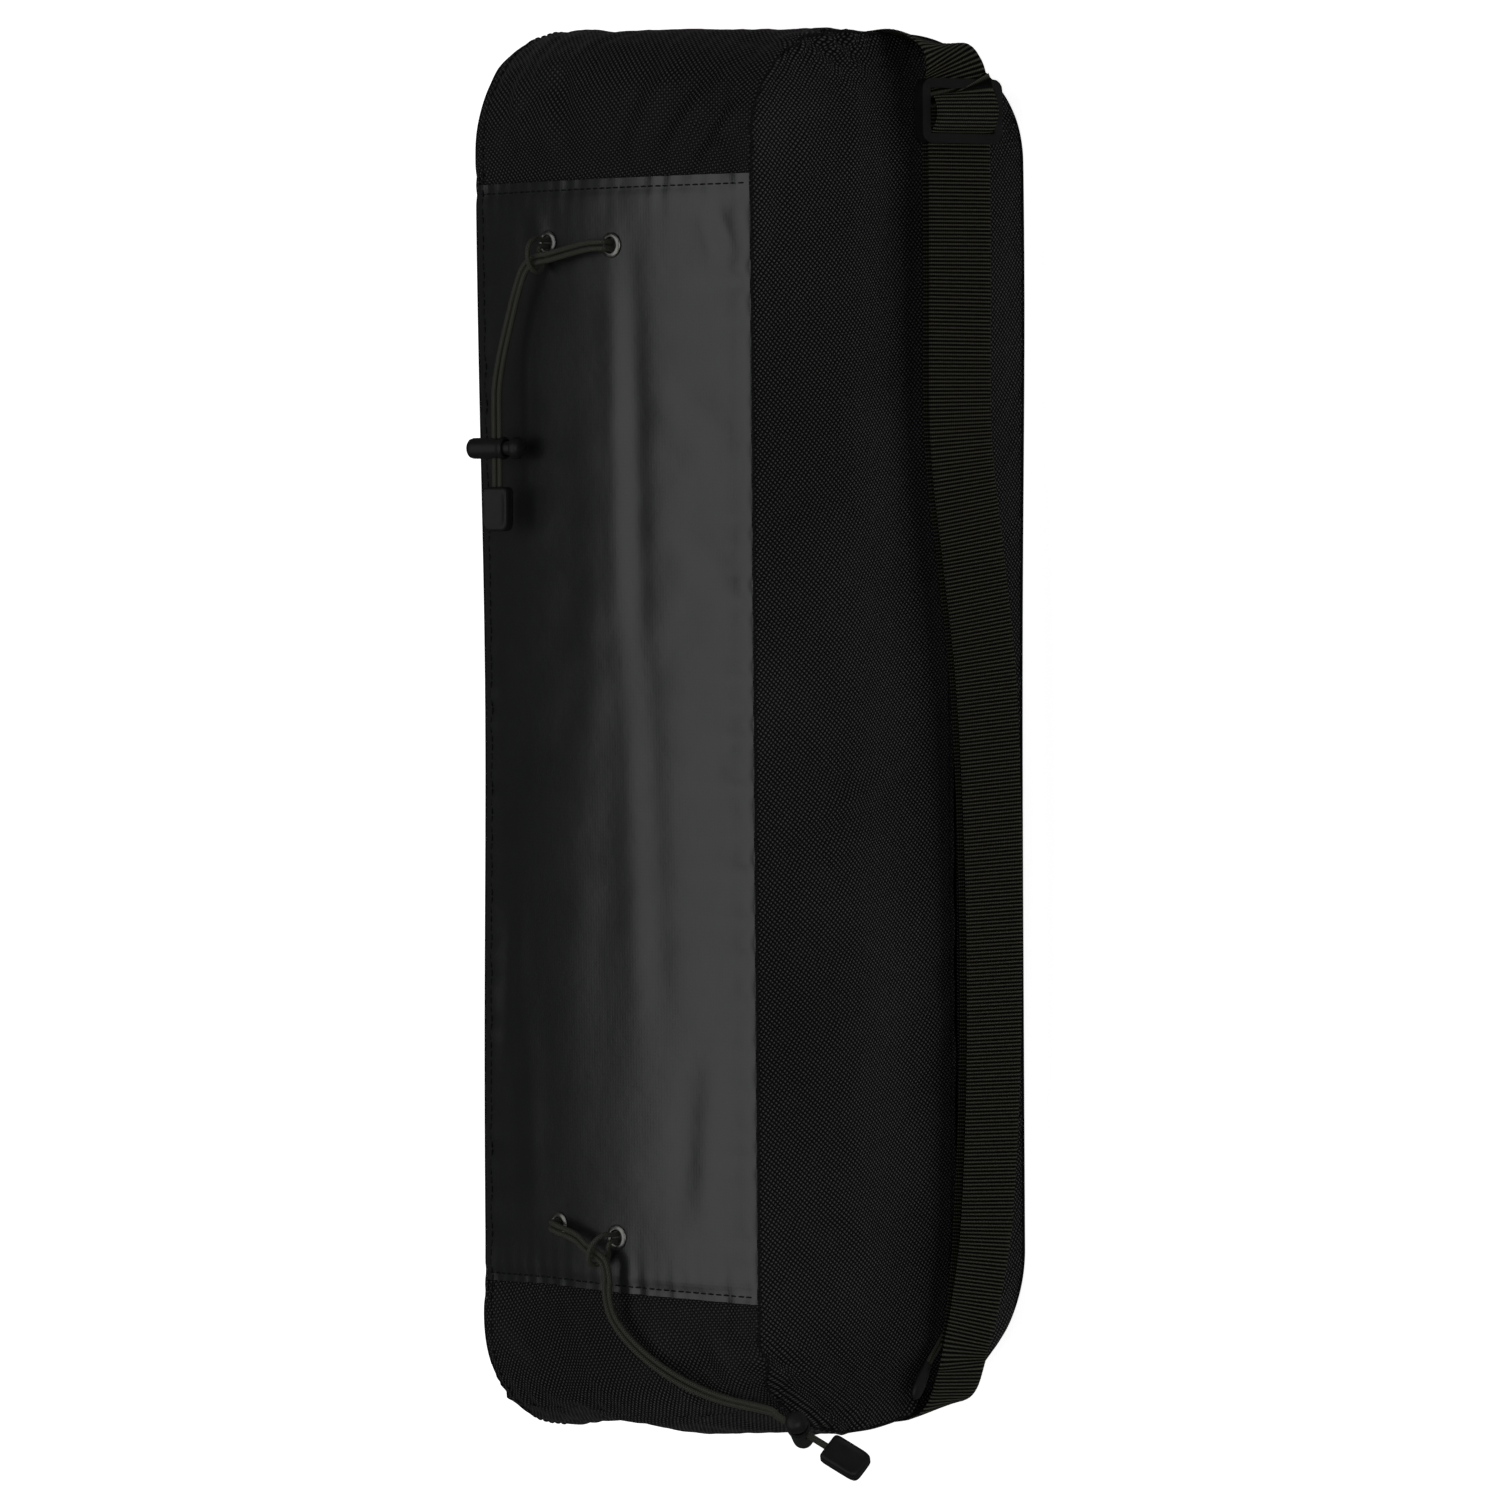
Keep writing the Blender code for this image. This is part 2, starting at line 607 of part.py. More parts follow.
def build_buckle():
    """A three-bar slide: two end bars over the front layer, a middle bar under it."""
    length, width = BUCKLE_SIZE
    top = 0.0030              # of the slide, from the front layer's middle
    bottom = -0.0037
    rail = 0.0036
    end_bar = 0.0040
    half_middle_bar = 0.0020
    radius = 0.0045
    bm = bmesh.new()
    outline = []
    for cx, cy, start in ((1, 1, 0), (-1, 1, 90), (-1, -1, 180), (1, -1, 270)):
        for k in range(5):
            angle = math.radians(start + 22.5 * k)
            outline.append((cx * (length / 2 - radius) + radius * math.cos(angle),
                            cy * (width / 2 - radius) + radius * math.sin(angle)))
    rows = [[bm.verts.new((x, y, z)) for x, y in outline] for z in (bottom, top)]
    bm.faces.new(list(reversed(rows[0])))
    bm.faces.new(rows[1])
    count = len(outline)
    for k in range(count):
        n = (k + 1) % count
        bm.faces.new((rows[0][k], rows[0][n], rows[1][n], rows[1][k]))
    frame = mesh_object("strap_tri_glide", bm, "plastic")
    inside = width / 2 - rail
    window = inside - 0.0003  # a little narrower than the tunnel, so that the cuts' sides stay apart
    tunnel = WEB_THICK / 2 + GAP
    past = 0.001              # how far cutters reach past a face
    cutters = [
        box("glide_tunnel", (-length, -inside, -tunnel), (length, inside, tunnel), "plastic"),
        box("glide_window", (-length / 2 + end_bar, -window, 0), (length / 2 - end_bar, window, top + past),
            "plastic"),
        box("glide_under_low", (-length, -window, bottom - past), (-half_middle_bar, window, 0), "plastic"),
        box("glide_under_high", (half_middle_bar, -window, bottom - past), (length, window, 0), "plastic"),
    ]
    normal = tilt_axes(STRAP_TOP_TILT)[1]
    placement = frame_matrix((BUCKLE_X, STRAP_Y, STRAP_TOP_Z), normal, (1, 0, 0))
    cut(frame, cutters)
    for item in [frame] + cutters:
        item.data.transform(placement)


# ---------------------------------------------------------------- eyelets and drawcords

UPPER_EYELETS = ((0.2063, -0.0080), (0.2082, 0.0300))
LOWER_EYELETS = ((-0.2070, 0.0285), (-0.2098, -0.0065))


def front_height(y):
    """Height of the front face's outer surface on the coated panel."""
    return HEIGHT + FRONT_CROWN * (1.0 - (y / HALF_WIDTH) ** 2)


def front_normal(y):
    return Vector((0, 2 * FRONT_CROWN * y / HALF_WIDTH ** 2, 1)).normalized()


def build_eyelets():
    panel = bpy.data.objects["front_panel_coated"]
    names = ("upper_right", "upper_left", "lower_left", "lower_right")
    holes = []
    for name, (x, y) in zip(names, UPPER_EYELETS + LOWER_EYELETS):
        place = frame_matrix((x, y, front_height(y)), front_normal(y), (1, 0, 0))
        rim = 0.0011
        seat = GAP
        foot = -WALL - 0.0019
        profile = [(EYELET_BORE, foot), (EYELET_BORE, rim * 0.6), (EYELET_BORE + 0.0006, rim),
                   (EYELET_OUTER - 0.0010, rim), (EYELET_OUTER, seat + 0.0003), (EYELET_OUTER, seat),
                   (EYELET_BARREL, seat), (EYELET_BARREL, foot)]
        ring = turned("eyelet_" + name, profile, 20, "black_metal")
        washer_top = -WALL - 0.0007
        profile = [(EYELET_BARREL + GAP, washer_top), (EYELET_OUTER, washer_top),
                   (EYELET_OUTER, washer_top - 0.0008), (EYELET_BARREL + GAP, washer_top - 0.0008)]
        washer = turned("eyelet_washer_" + name, profile, 20, "black_metal")
        profile = [(0.0, -0.006), (EYELET_BARREL + GAP, -0.006), (EYELET_BARREL + GAP, 0.004), (0.0, 0.004)]
        hole = turned("eyelet_hole_" + name, profile, 20, "coated")
        for item in (ring, washer, hole):
            item.data.transform(place)
        holes.append(hole)
    cut(panel, holes)


# Middle line of the doubled upper cord, from inside its eyelet to its moulded end
UPPER_ROUTE = [(0.2063, -0.0079, 0.1730), (0.2063, -0.0080, 0.1797), (0.2063, -0.0070, 0.1826),
               (0.2060, -0.0010, 0.1845), (0.2045, 0.0100, 0.1838), (0.2022, 0.0220, 0.1842),
               (0.2010, 0.0298, 0.1848), (0.1975, 0.0360, 0.1848), (0.1890, 0.0415, 0.1838),
               (0.1760, 0.0470, 0.1830), (0.1620, 0.0512, 0.1834), (0.1500, 0.0529, 0.1846),
               (0.1420, 0.0530, 0.1852), (0.1220, 0.0530, 0.1852), (0.1060, 0.0530, 0.1852)]
UPPER_LOCK = Vector((0.1220, 0.0530, 0.1852))
UPPER_RUN = Vector((-1, 0, 0))
UPPER_LOCK_AXIS = Vector((0, 0.978, 0.208))
# The loop that holds the doubled cord down at the other eyelet
UPPER_BIGHT = [(0.2096, 0.0300, 0.1730), (0.2096, 0.0301, 0.1812), (0.2100, 0.0303, 0.1842),
               (0.2078, 0.0305, 0.1874), (0.2035, 0.0305, 0.1888), (0.1985, 0.0303, 0.1876),
               (0.1962, 0.0300, 0.1845), (0.1972, 0.0298, 0.1812), (0.2005, 0.0298, 0.1800),
               (0.2045, 0.0300, 0.1822), (0.2067, 0.0300, 0.1817), (0.2068, 0.0300, 0.1790),
               (0.2068, 0.0300, 0.1730)]

# Middle line of the doubled lower cord, as far as its lock
LOWER_RUN = Vector((-0.46, -0.84, -0.29)).normalized()
LOWER_LOCK = Vector((-0.2850, -0.0925, 0.1590))
LOWER_LOCK_AXIS = Vector((-0.455, 0.477, -0.755))
LOWER_ROUTE = [(-0.2070, 0.0281, 0.1720), (-0.2070, 0.0287, 0.1795), (-0.2071, 0.0278, 0.1820),
               (-0.2080, 0.0220, 0.1840), (-0.2105, 0.0125, 0.1838), (-0.2140, 0.0055, 0.1846),
               (-0.2164, -0.0002, 0.1850), (-0.2195, -0.0052, 0.1850), (-0.2255, -0.0066, 0.1842),
               (-0.2340, -0.0055, 0.1830), (-0.2430, -0.0072, 0.1816), (-0.2515, -0.0140, 0.1800),
               (-0.2600, -0.0250, 0.1778), (-0.2680, -0.0400, 0.1745), (-0.2740, -0.0570, 0.1695)]
LOWER_END_WIDTH = Vector((0.694, -0.135, -0.708))     # across the moulded end's broad face
LOWER_LAST = (-0.016, -0.010, 0.0, 0.0135)     # the cord's straight end, measured from its lock
LOWER_BIGHT = [(-0.2084, -0.0065, 0.1730), (-0.2084, -0.0065, 0.1815), (-0.2080, -0.0058, 0.1845),
               (-0.2100, -0.0040, 0.1877), (-0.2140, -0.0015, 0.1891), (-0.2188, 0.0005, 0.1879),
               (-0.2212, 0.0005, 0.1848), (-0.2205, -0.0010, 0.1815), (-0.2175, -0.0035, 0.1803),
               (-0.2137, -0.0058, 0.1825), (-0.2114, -0.0064, 0.1819), (-0.2112, -0.0065, 0.1790),
               (-0.2112, -0.0065, 0.1730)]


def lock_axis(run, axis):
    a = Vector(axis)
    return (a - run * a.dot(run)).normalized()


def side_by_side(route, axis, turn_from, distance):
    """A route beside another: sideways and level at first, and along axis from the turn_from-th point on."""
    points = [Vector(p) for p in route]
    out = []
    for i, p in enumerate(points):
        before = points[max(2, i - 1)]
        after = points[min(len(points) - 1, max(4, i + 1))]
        level = Vector((0, 0, 1)).cross(after - before).normalized()
        final = axis if axis.dot(level) > 0 else -axis
        turn = min(1.0, max(0.0, (i - turn_from) / 3))
        out.append(p + level.lerp(final, turn).normalized() * distance)
    return out


def build_cords():
    """Each doubled cord's two strands lie side by side, along its lock's axis where they pass the lock."""
    lower = LOWER_ROUTE + [LOWER_LOCK + LOWER_RUN * d for d in LOWER_LAST]
    upper_axis = lock_axis(UPPER_RUN, UPPER_LOCK_AXIS)
    lower_axis = lock_axis(LOWER_RUN, LOWER_LOCK_AXIS)
    for prefix, route, axis, turn_from in (("upper", UPPER_ROUTE, upper_axis, 8), ("lower", lower, lower_axis, 13)):
        for strand, side in (("a", 0.5), ("b", -0.5)):
            moved = side_by_side(route, axis, turn_from, CORD_PITCH * side)
            cord_tube(f"{prefix}_cord_strand_{strand}", moved, CORD, "cord", 36)
    cord_tube("upper_cord_bight", UPPER_BIGHT, CORD * 0.9, "cord", 26)
    cord_tube("lower_cord_bight", LOWER_BIGHT, CORD * 0.9, "cord", 26)


def build_lock(prefix, centre, run, axis):
    """A spring toggle: a bored barrel, a plunger with a head, and the spring between them."""
    axis = lock_axis(run, axis)
    hole_middle = 0.0012
    place = frame_matrix(centre - axis * hole_middle, axis, run)
    mouth = -0.0030
    end = 0.0150
    floor = 0.0132
    profile = [(0.0, end), (LOCK_RADIUS - 0.0010, end), (LOCK_RADIUS, end - 0.0012), (LOCK_RADIUS, mouth + 0.0006),
               (LOCK_RADIUS - 0.0005, mouth), (LOCK_BORE, mouth), (LOCK_BORE, floor), (0.0, floor)]
    barrel = turned(prefix + "_lock_barrel", profile, 20, "plastic")
    half_slot = CORD_PITCH / 2 + CORD / 2 + GAP
    wide = CORD / 2 + GAP
    past = 0.010              # the slots' cutters reach right through
    barrel_slot = box(prefix + "_barrel_slot", (-past, -wide, hole_middle - half_slot),
                      (past, wide, hole_middle + half_slot), "plastic")
    cut(barrel, [barrel_slot])
    head = -0.0120
    shoulder = mouth - PRESS_TRAVEL - GAP
    stem_end = 0.0062
    profile = [(0.0, head), (0.0026, head), (0.0041, head + 0.0010), (LOCK_RADIUS, head + 0.0026),
               (LOCK_RADIUS, shoulder), (STEM_RADIUS, shoulder), (STEM_RADIUS, stem_end), (0.0, stem_end)]
    button = turned(prefix + "_lock_button", profile, 20, "plastic")
    button_slot = box(prefix + "_button_slot", (-past, -wide, hole_middle - half_slot - PRESS_TRAVEL),
                      (past, wide, hole_middle + half_slot), "plastic")
    cut(button, [button_slot])
    spring = spring_tube(prefix + "_lock_spring", stem_end + GAP, floor - GAP)
    for item in (barrel, barrel_slot, button, button_slot, spring):
        item.data.transform(place)


def spring_tube(name, low, high):
    turns = 4.5
    steps = 54
    radius = 0.0023
    wire = 0.0005
    route = []
    for k in range(steps + 1):
        t = k / steps
        angle = math.tau * turns * t
        route.append((radius * math.cos(angle), radius * math.sin(angle), lerp(low, high, t)))
    data = bpy.data.curves.new(name, "CURVE")
    data.dimensions = "3D"
    data.bevel_depth = wire / 2
    data.bevel_resolution = 0
    data.use_fill_caps = True
    spline = data.splines.new("POLY")
    spline.points.add(len(route) - 1)
    for target, p in zip(spline.points, route):
        target.co = (*p, 1.0)
    return add_object(name, data, "steel")


def build_cord_end(prefix, start, run, across):
    """A moulded cord end in two shells that close on the cord's two ends."""
    place = frame_matrix(start, run, across)
    length = 0.0190
    half = 0.0064
    neck = 0.0048
    bevel = 0.0020
    rounding = 0.0035
    half_thick = 0.0031
    edge_height = 0.0022
    outline = [(-neck, 0.0), (-half, bevel), (-half, length - rounding), (-half + bevel, length),
               (half - bevel, length), (half, length - rounding), (half, bevel), (neck, 0.0)]
    for shell, sign in (("cover", 1), ("base", -1)):
        bm = bmesh.new()
        ys = (sign * GAP / 2, sign * edge_height, sign * half_thick)
        shrink = (1.0, 1.0, 0.84)
        rings = []
        for y, s in zip(ys, shrink):
            ring = []
            for x, z in outline:
                ring.append(bm.verts.new((x * s, y, length / 2 + (z - length / 2) * s)))
            rings.append(ring)
        count = len(outline)
        bm.faces.new(rings[0])
        bm.faces.new(list(reversed(rings[2])))
        for a, b in zip(rings, rings[1:]):
            for k in range(count):
                n = (k + 1) % count
                bm.faces.new((a[k], a[n], b[n], b[k]))
        item = mesh_object(f"{prefix}_cord_end_{shell}", bm, "plastic")
        item.data.transform(place)


def build_fittings():
    build_lock("upper", UPPER_LOCK, UPPER_RUN, UPPER_LOCK_AXIS)
    build_lock("lower", LOWER_LOCK, LOWER_RUN, LOWER_LOCK_AXIS)
    upper_axis = lock_axis(UPPER_RUN, UPPER_LOCK_AXIS)
    build_cord_end("upper", Vector(UPPER_ROUTE[-1]) + UPPER_RUN * GAP, UPPER_RUN, upper_axis)
    build_cord_end("lower", LOWER_LOCK + LOWER_RUN * (LOWER_LAST[-1] + GAP), LOWER_RUN, LOWER_END_WIDTH)


def main():
    clear_scene()
    build_gusset()
    build_sides()
    build_seam_tapes()
    build_zip()
    build_slider()
    build_zip_pull()
    build_strap()
    build_strap_tabs()
    build_buckle()
    build_eyelets()
    build_cords()
    build_fittings()


main()
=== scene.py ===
"""Compression sack: fabric, webbing, cord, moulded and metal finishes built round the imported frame."""

import json
import math

import bpy
import numpy as np
from mathutils import Matrix, Vector


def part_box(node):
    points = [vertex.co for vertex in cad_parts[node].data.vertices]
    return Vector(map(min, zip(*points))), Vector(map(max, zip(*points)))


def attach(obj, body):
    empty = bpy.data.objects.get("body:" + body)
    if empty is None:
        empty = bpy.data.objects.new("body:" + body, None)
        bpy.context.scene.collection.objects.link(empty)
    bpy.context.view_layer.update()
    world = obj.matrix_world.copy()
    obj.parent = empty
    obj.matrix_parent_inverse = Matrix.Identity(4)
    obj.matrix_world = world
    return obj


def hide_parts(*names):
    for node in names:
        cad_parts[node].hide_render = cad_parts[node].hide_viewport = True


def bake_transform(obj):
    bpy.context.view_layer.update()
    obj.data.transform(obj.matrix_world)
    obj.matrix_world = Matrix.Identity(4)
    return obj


bl_info = {
    "name": "Compression Sack Builder",
    "version": (1, 0, 0),
    "blender": (4, 5, 0),
    "location": "View3D > Sidebar > Sack",
    "description": "Builds a soft compression sack with drawcords, a side zip and a shoulder strap",
    "category": "Add Mesh",
}

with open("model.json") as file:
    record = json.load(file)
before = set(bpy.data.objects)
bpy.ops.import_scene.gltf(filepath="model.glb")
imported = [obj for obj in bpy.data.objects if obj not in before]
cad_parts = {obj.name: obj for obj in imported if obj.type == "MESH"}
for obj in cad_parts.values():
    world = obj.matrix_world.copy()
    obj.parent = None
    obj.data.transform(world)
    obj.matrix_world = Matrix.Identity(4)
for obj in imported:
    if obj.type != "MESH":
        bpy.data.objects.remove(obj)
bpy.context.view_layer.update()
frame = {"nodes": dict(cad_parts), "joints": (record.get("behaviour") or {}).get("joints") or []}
MM = 0.001

# Sizes that the frame gives
PANEL_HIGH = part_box("front_panel_coated")[1]
COIL_LOW, COIL_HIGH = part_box("zip_coil_rear")
COIL_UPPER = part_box("zip_coil_front")[1]
HALF_WIDTH = float(PANEL_HIGH[1])
COATED_HALF = float(PANEL_HIGH[0])
FRONT_SEAM = float(PANEL_HIGH[2]) - 9 * MM
HALF_LENGTH = float(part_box("seam_binding_plain_side")[1][0]) + 2 * MM
ZIP_Z = float(COIL_LOW[2] + COIL_UPPER[2]) / 2
ZIP_HALF = float(COIL_HIGH[0])

# The side outline's elliptical corners: half-axis along X, half-axis along Z
FRONT_TOP = (0.050, 0.055)
BACK_TOP = (0.055, 0.072)
BACK_BOTTOM = (0.072, 0.108)
FRONT_BOTTOM = (0.055, 0.060)

# The shell's grid: cells along the sack, across its depth and across its width, and how finely each is redrawn
LONG, SHORT, ACROSS = 96, 28, 28
FINER = 3
RING = 2 * (LONG + SHORT)

FILL_FRAMES = 21                # steps of the cloth simulation
FILL_CAP = 5.5 * MM             # the furthest that a point may move in it
HEM_INSET = 3.8 * MM            # the coated panel's hem stitches, in from its edge
EDGE_INSET = 5.2 * MM           # the stitches along the plain side's seam, in from it
COATED_LIFT = 0.1 * MM          # the coated panel lies on the ends' woven cloth
SLOT_HALF = 4.2 * MM            # half the width of the opening that shows the zip
ZIP_STITCHES = 7.2 * MM         # the zip's stitches, out from its middle


# ---------------------------------------------------------------- colours

def linear(code):
    """An sRGB hex colour as linear red, green, blue and alpha."""
    parts = [int(code[i:i + 2], 16) / 255 for i in (1, 3, 5)]
    return tuple(p / 12.92 if p <= 0.04045 else ((p + 0.055) / 1.055) ** 2.4 for p in parts) + (1.0,)


def shade(colour, factor):
    """A linear colour made lighter or darker by a factor on its sRGB values."""
    coded = [c * 12.92 if c <= 0.0031308 else 1.055 * c ** (1 / 2.4) - 0.055 for c in colour[:3]]
    return linear("#" + "".join(f"{min(255, round(c * 255 * factor)):02x}" for c in coded))


# ---------------------------------------------------------------- settings shown to a user

class SackFabric(bpy.types.PropertyGroup):
    front_crown: bpy.props.FloatProperty(
        name="Front crown", description="How far the filled front stands above its seams",
        default=9 * MM, min=0, unit="LENGTH")
    side_crown: bpy.props.FloatProperty(
        name="Side crown", description="How far the filled sides stand beyond their seams",
        default=7 * MM, min=0, unit="LENGTH")
    wall: bpy.props.FloatProperty(
        name="Cloth thickness", description="Thickness of the woven cloth", default=0.9 * MM, unit="LENGTH")
    pucker: bpy.props.FloatProperty(
        name="Pucker height", description="Height of the small gathers along the seams",
        default=0.55 * MM, unit="LENGTH")
    stitch_pitch: bpy.props.FloatProperty(
        name="Stitch pitch", description="Distance from one stitch to the next", default=3.9 * MM, unit="LENGTH")
    pressure: bpy.props.FloatProperty(
        name="Filling pressure", description="Pressure of the filling in the cloth simulation", default=2.0)


class SackTrim(bpy.types.PropertyGroup):
    web_width: bpy.props.FloatProperty(
        name="Webbing width", description="Width of the shoulder webbing", default=30 * MM, unit="LENGTH")
    web_thick: bpy.props.FloatProperty(
        name="Webbing thickness", description="Thickness of the shoulder webbing", default=1.4 * MM, unit="LENGTH")
    rib_pitch: bpy.props.FloatProperty(
        name="Rib pitch", description="Distance from one cross rib of the webbing to the next",
        default=1.6 * MM, unit="LENGTH")
    cord: bpy.props.FloatProperty(
        name="Cord diameter", description="Diameter of the elastic drawcord", default=2.4 * MM, unit="LENGTH")


class SackColours(bpy.types.PropertyGroup):
    coating: bpy.props.FloatVectorProperty(
        name="Coating", description="Colour of the coated front panel",
        default=linear("#101111"), size=4, min=0, max=1, subtype="COLOR")
    oxford: bpy.props.FloatVectorProperty(
        name="Oxford", description="Colour of the woven cloth",
        default=linear("#1f1f1f"), size=4, min=0, max=1, subtype="COLOR")
    webbing: bpy.props.FloatVectorProperty(
        name="Webbing", description="Colour of the shoulder webbing",
        default=linear("#191915"), size=4, min=0, max=1, subtype="COLOR")
    plastic: bpy.props.FloatVectorProperty(
        name="Plastic", description="Colour of the moulded fittings",
        default=linear("#161716"), size=4, min=0, max=1, subtype="COLOR")
    cord: bpy.props.FloatVectorProperty(
        name="Cord", description="Colour of the elastic cord",
        default=linear("#23231d"), size=4, min=0, max=1, subtype="COLOR")


def fabric():
    return bpy.context.scene.sack_fabric


def trim():
    return bpy.context.scene.sack_trim


def colours():
    return bpy.context.scene.sack_colours


# ---------------------------------------------------------------- materials

def wave_scale(pitch):
    """A wave texture's scale for a period in metres."""
    return math.pi / 10 / pitch


def add_node(tree, kind, settings=None, links=None, out=0, to=None):
    """Adds a node with its properties, input values, ramp stops and links, feeds it to an input, returns its output."""
    made = tree.nodes.new("ShaderNode" + kind)
    for key, value in (settings or {}).items():
        if key == "stops":
            for stop, (position, colour) in zip(made.color_ramp.elements, value):
                stop.position, stop.color = position, colour
        elif isinstance(key, int) or key in made.inputs:
            made.inputs[key].default_value = value
        else:
            setattr(made, key, value)
    for key, source in (links or {}).items():
        tree.links.new(source, made.inputs[key])
    if to is not None:
        tree.links.new(made.outputs[out], to)
    return made.outputs[out]


def new_material(name, colour, roughness, **more):
    """A material with its Principled shader's own values set; returns it with its tree and the shader's inputs."""
    made = bpy.data.materials.new(name)
    made.use_nodes = True
    inputs = made.node_tree.nodes["Principled BSDF"].inputs
    inputs["Base Color"].default_value = colour
    inputs["Roughness"].default_value = roughness
    for key, value in more.items():
        inputs[key.replace("_", " ").title().replace("Ior", "IOR")].default_value = value
    return made, made.node_tree, inputs


def oxford_nylon():
    """Nylon oxford, woven from thick filament yarn: matt; its small knuckles where yarns cross are painted lighter as a
    painted highlight, over soft random tone.
    The real crossings are about 1.2 mm apart; they are drawn 1.6 mm apart so that they show."""
    colour = colours().oxford
    made, tree, shader = new_material("oxford_nylon_woven", colour, 0.36, specular_ior_level=0.10)
    uv = add_node(tree, "UVMap", {"uv_map": "UVMap"})
    slant = add_node(tree, "VectorRotate", {"rotation_type": "Z_AXIS", "Angle": math.radians(38)}, {"Vector": uv})
    warp, weft = (add_node(tree, "TexWave", {"bands_direction": axis, "Scale": wave_scale(1.6 * MM)},
                           {"Vector": slant}, "Fac") for axis in "XY")
    knuckles = add_node(tree, "Math", {"operation": "MULTIPLY"}, {0: warp, 1: weft})
    slub = add_node(tree, "TexNoise", {"Scale": 900.0, "Detail": 2.0}, {"Vector": uv})
    height = add_node(tree, "Math", {"operation": "MULTIPLY_ADD", 1: 0.35}, {0: slub, 2: knuckles})
    add_node(tree, "Bump", {"Distance": 0.7 * MM, "Strength": 1.0}, {"Height": height}, to=shader["Normal"])
    cloud = add_node(tree, "TexNoise", {"Scale": 9.0, "Detail": 3.0}, {"Vector": uv})
    faded = add_node(tree, "Math", {"operation": "MULTIPLY", 1: 0.3}, {0: cloud})
    painted_light_and_tone = add_node(tree, "Math", {"operation": "MULTIPLY_ADD", 1: 0.8}, {0: knuckles, 2: faded})
    # Base colour: painted highlight on the yarn crossings (knuckles), plus soft random tone from the cloud noise
    add_node(tree, "ValToRGB", {"stops": ((0.22, shade(colour, 0.3)), (1, shade(colour, 2.5)))}, {"Fac": painted_light_and_tone},
             to=shader["Base Color"])
    return made


def coated_nylon():
    """Nylon coated with smooth satin polyurethane: a soft wide highlight, faint cloth grain showing through."""
    colour = colours().coating
    made, tree, shader = new_material("polyurethane_coated_nylon", colour, 0.32, specular_ior_level=0.62)
    uv = add_node(tree, "UVMap", {"uv_map": "UVMap"})
    warp, weft = (add_node(tree, "TexWave", {"bands_direction": axis, "Scale": wave_scale(1.5 * MM)},
                           {"Vector": uv}, "Fac") for axis in "XY")
    cloud = add_node(tree, "TexNoise", {"Scale": 28.0, "Detail": 4.0, "Roughness": 0.6}, {"Vector": uv})
    grit = add_node(tree, "TexNoise", {"Scale": 1400.0, "Detail": 1.0}, {"Vector": uv})
    soft = add_node(tree, "Bump", {"Distance": 1.6 * MM, "Strength": 0.25}, {"Height": cloud})
    grain = add_node(tree, "Math", {"operation": "MULTIPLY"}, {0: warp, 1: weft})
    faded = add_node(tree, "Math", {"operation": "MULTIPLY", 1: 0.4}, {0: grit})
    fine = add_node(tree, "Math", {"operation": "MULTIPLY_ADD", 1: 0.5}, {0: grain, 2: faded})
    add_node(tree, "Bump", {"Distance": 0.05 * MM, "Strength": 0.6}, {"Height": fine, "Normal": soft},
             to=shader["Normal"])
    add_node(tree, "MapRange", {"To Min": 0.27, "To Max": 0.38}, {"Value": cloud}, to=shader["Roughness"])
    add_node(tree, "ValToRGB", {"stops": ((0, shade(colour, 0.9)), (1, shade(colour, 1.12)))}, {"Fac": cloud},
             to=shader["Base Color"])
    return made


def ribbed_webbing():
    """Nylon webbing, woven with cross ribs: matt yarn with a painted highlight on the rib tops and painted shade
    between them, and fine warp lines along it.
    """
    colour = colours().webbing
    made, tree, shader = new_material("nylon_webbing_ribbed", colour, 0.42, specular_ior_level=0.10)
    uv = add_node(tree, "UVMap", {"uv_map": "UVMap"})
    ribs, warp = (add_node(tree, "TexWave", {"bands_direction": axis, "Scale": wave_scale(pitch)},
                           {"Vector": uv}, "Fac") for axis, pitch in (("X", trim().rib_pitch), ("Y", 0.9 * MM)))
    height = add_node(tree, "Math", {"operation": "MULTIPLY_ADD", 1: 0.4}, {0: warp, 2: ribs})
    add_node(tree, "Bump", {"Distance": 0.5 * MM, "Strength": 1.0}, {"Height": height}, to=shader["Normal"])
    lines = add_node(tree, "Math", {"operation": "MULTIPLY_ADD", 1: 0.35, 2: 0.65}, {0: warp})
    painted_light_and_tone = add_node(tree, "Math", {"operation": "MULTIPLY"}, {0: ribs, 1: lines})
    # Base colour: painted highlight on the rib tops and painted shade in the grooves, crossed by the warp lines
    add_node(tree, "ValToRGB", {"stops": ((0.25, shade(colour, 0.1)), (1, shade(colour, 2.8)))}, {"Fac": painted_light_and_tone},
             to=shader["Base Color"])
    return made


def braided_cord():
    """Elastic cord in a braided polyester sheath: small slanted picks that cross, painted lighter on their raised tops
    as a painted highlight and darker between them as painted shade.
    """
    colour = colours().cord
    made, tree, shader = new_material("polyester_braid_elastic", colour, 0.5, sheen_weight=0.03,
                                      specular_ior_level=0.3)
    uv = add_node(tree, "UVMap", {"uv_map": "UVMap"})
    picks = []
    for angle in (38, -38):
        slant = add_node(tree, "VectorRotate", {"rotation_type": "Z_AXIS", "Angle": math.radians(angle)},
                         {"Vector": uv})
        picks.append(add_node(tree, "TexWave", {"bands_direction": "X", "Scale": wave_scale(0.85 * MM)},
                              {"Vector": slant}, "Fac"))
    braid = add_node(tree, "Math", {"operation": "MAXIMUM"}, {0: picks[0], 1: picks[1]})
    add_node(tree, "Bump", {"Distance": 0.22 * MM, "Strength": 0.9}, {"Height": braid}, to=shader["Normal"])
    # Base colour: painted highlight on the raised picks, painted shade between them
    add_node(tree, "ValToRGB", {"stops": ((0, shade(colour, 0.35)), (1, shade(colour, 1.5)))}, {"Fac": braid},
             to=shader["Base Color"])
    return made


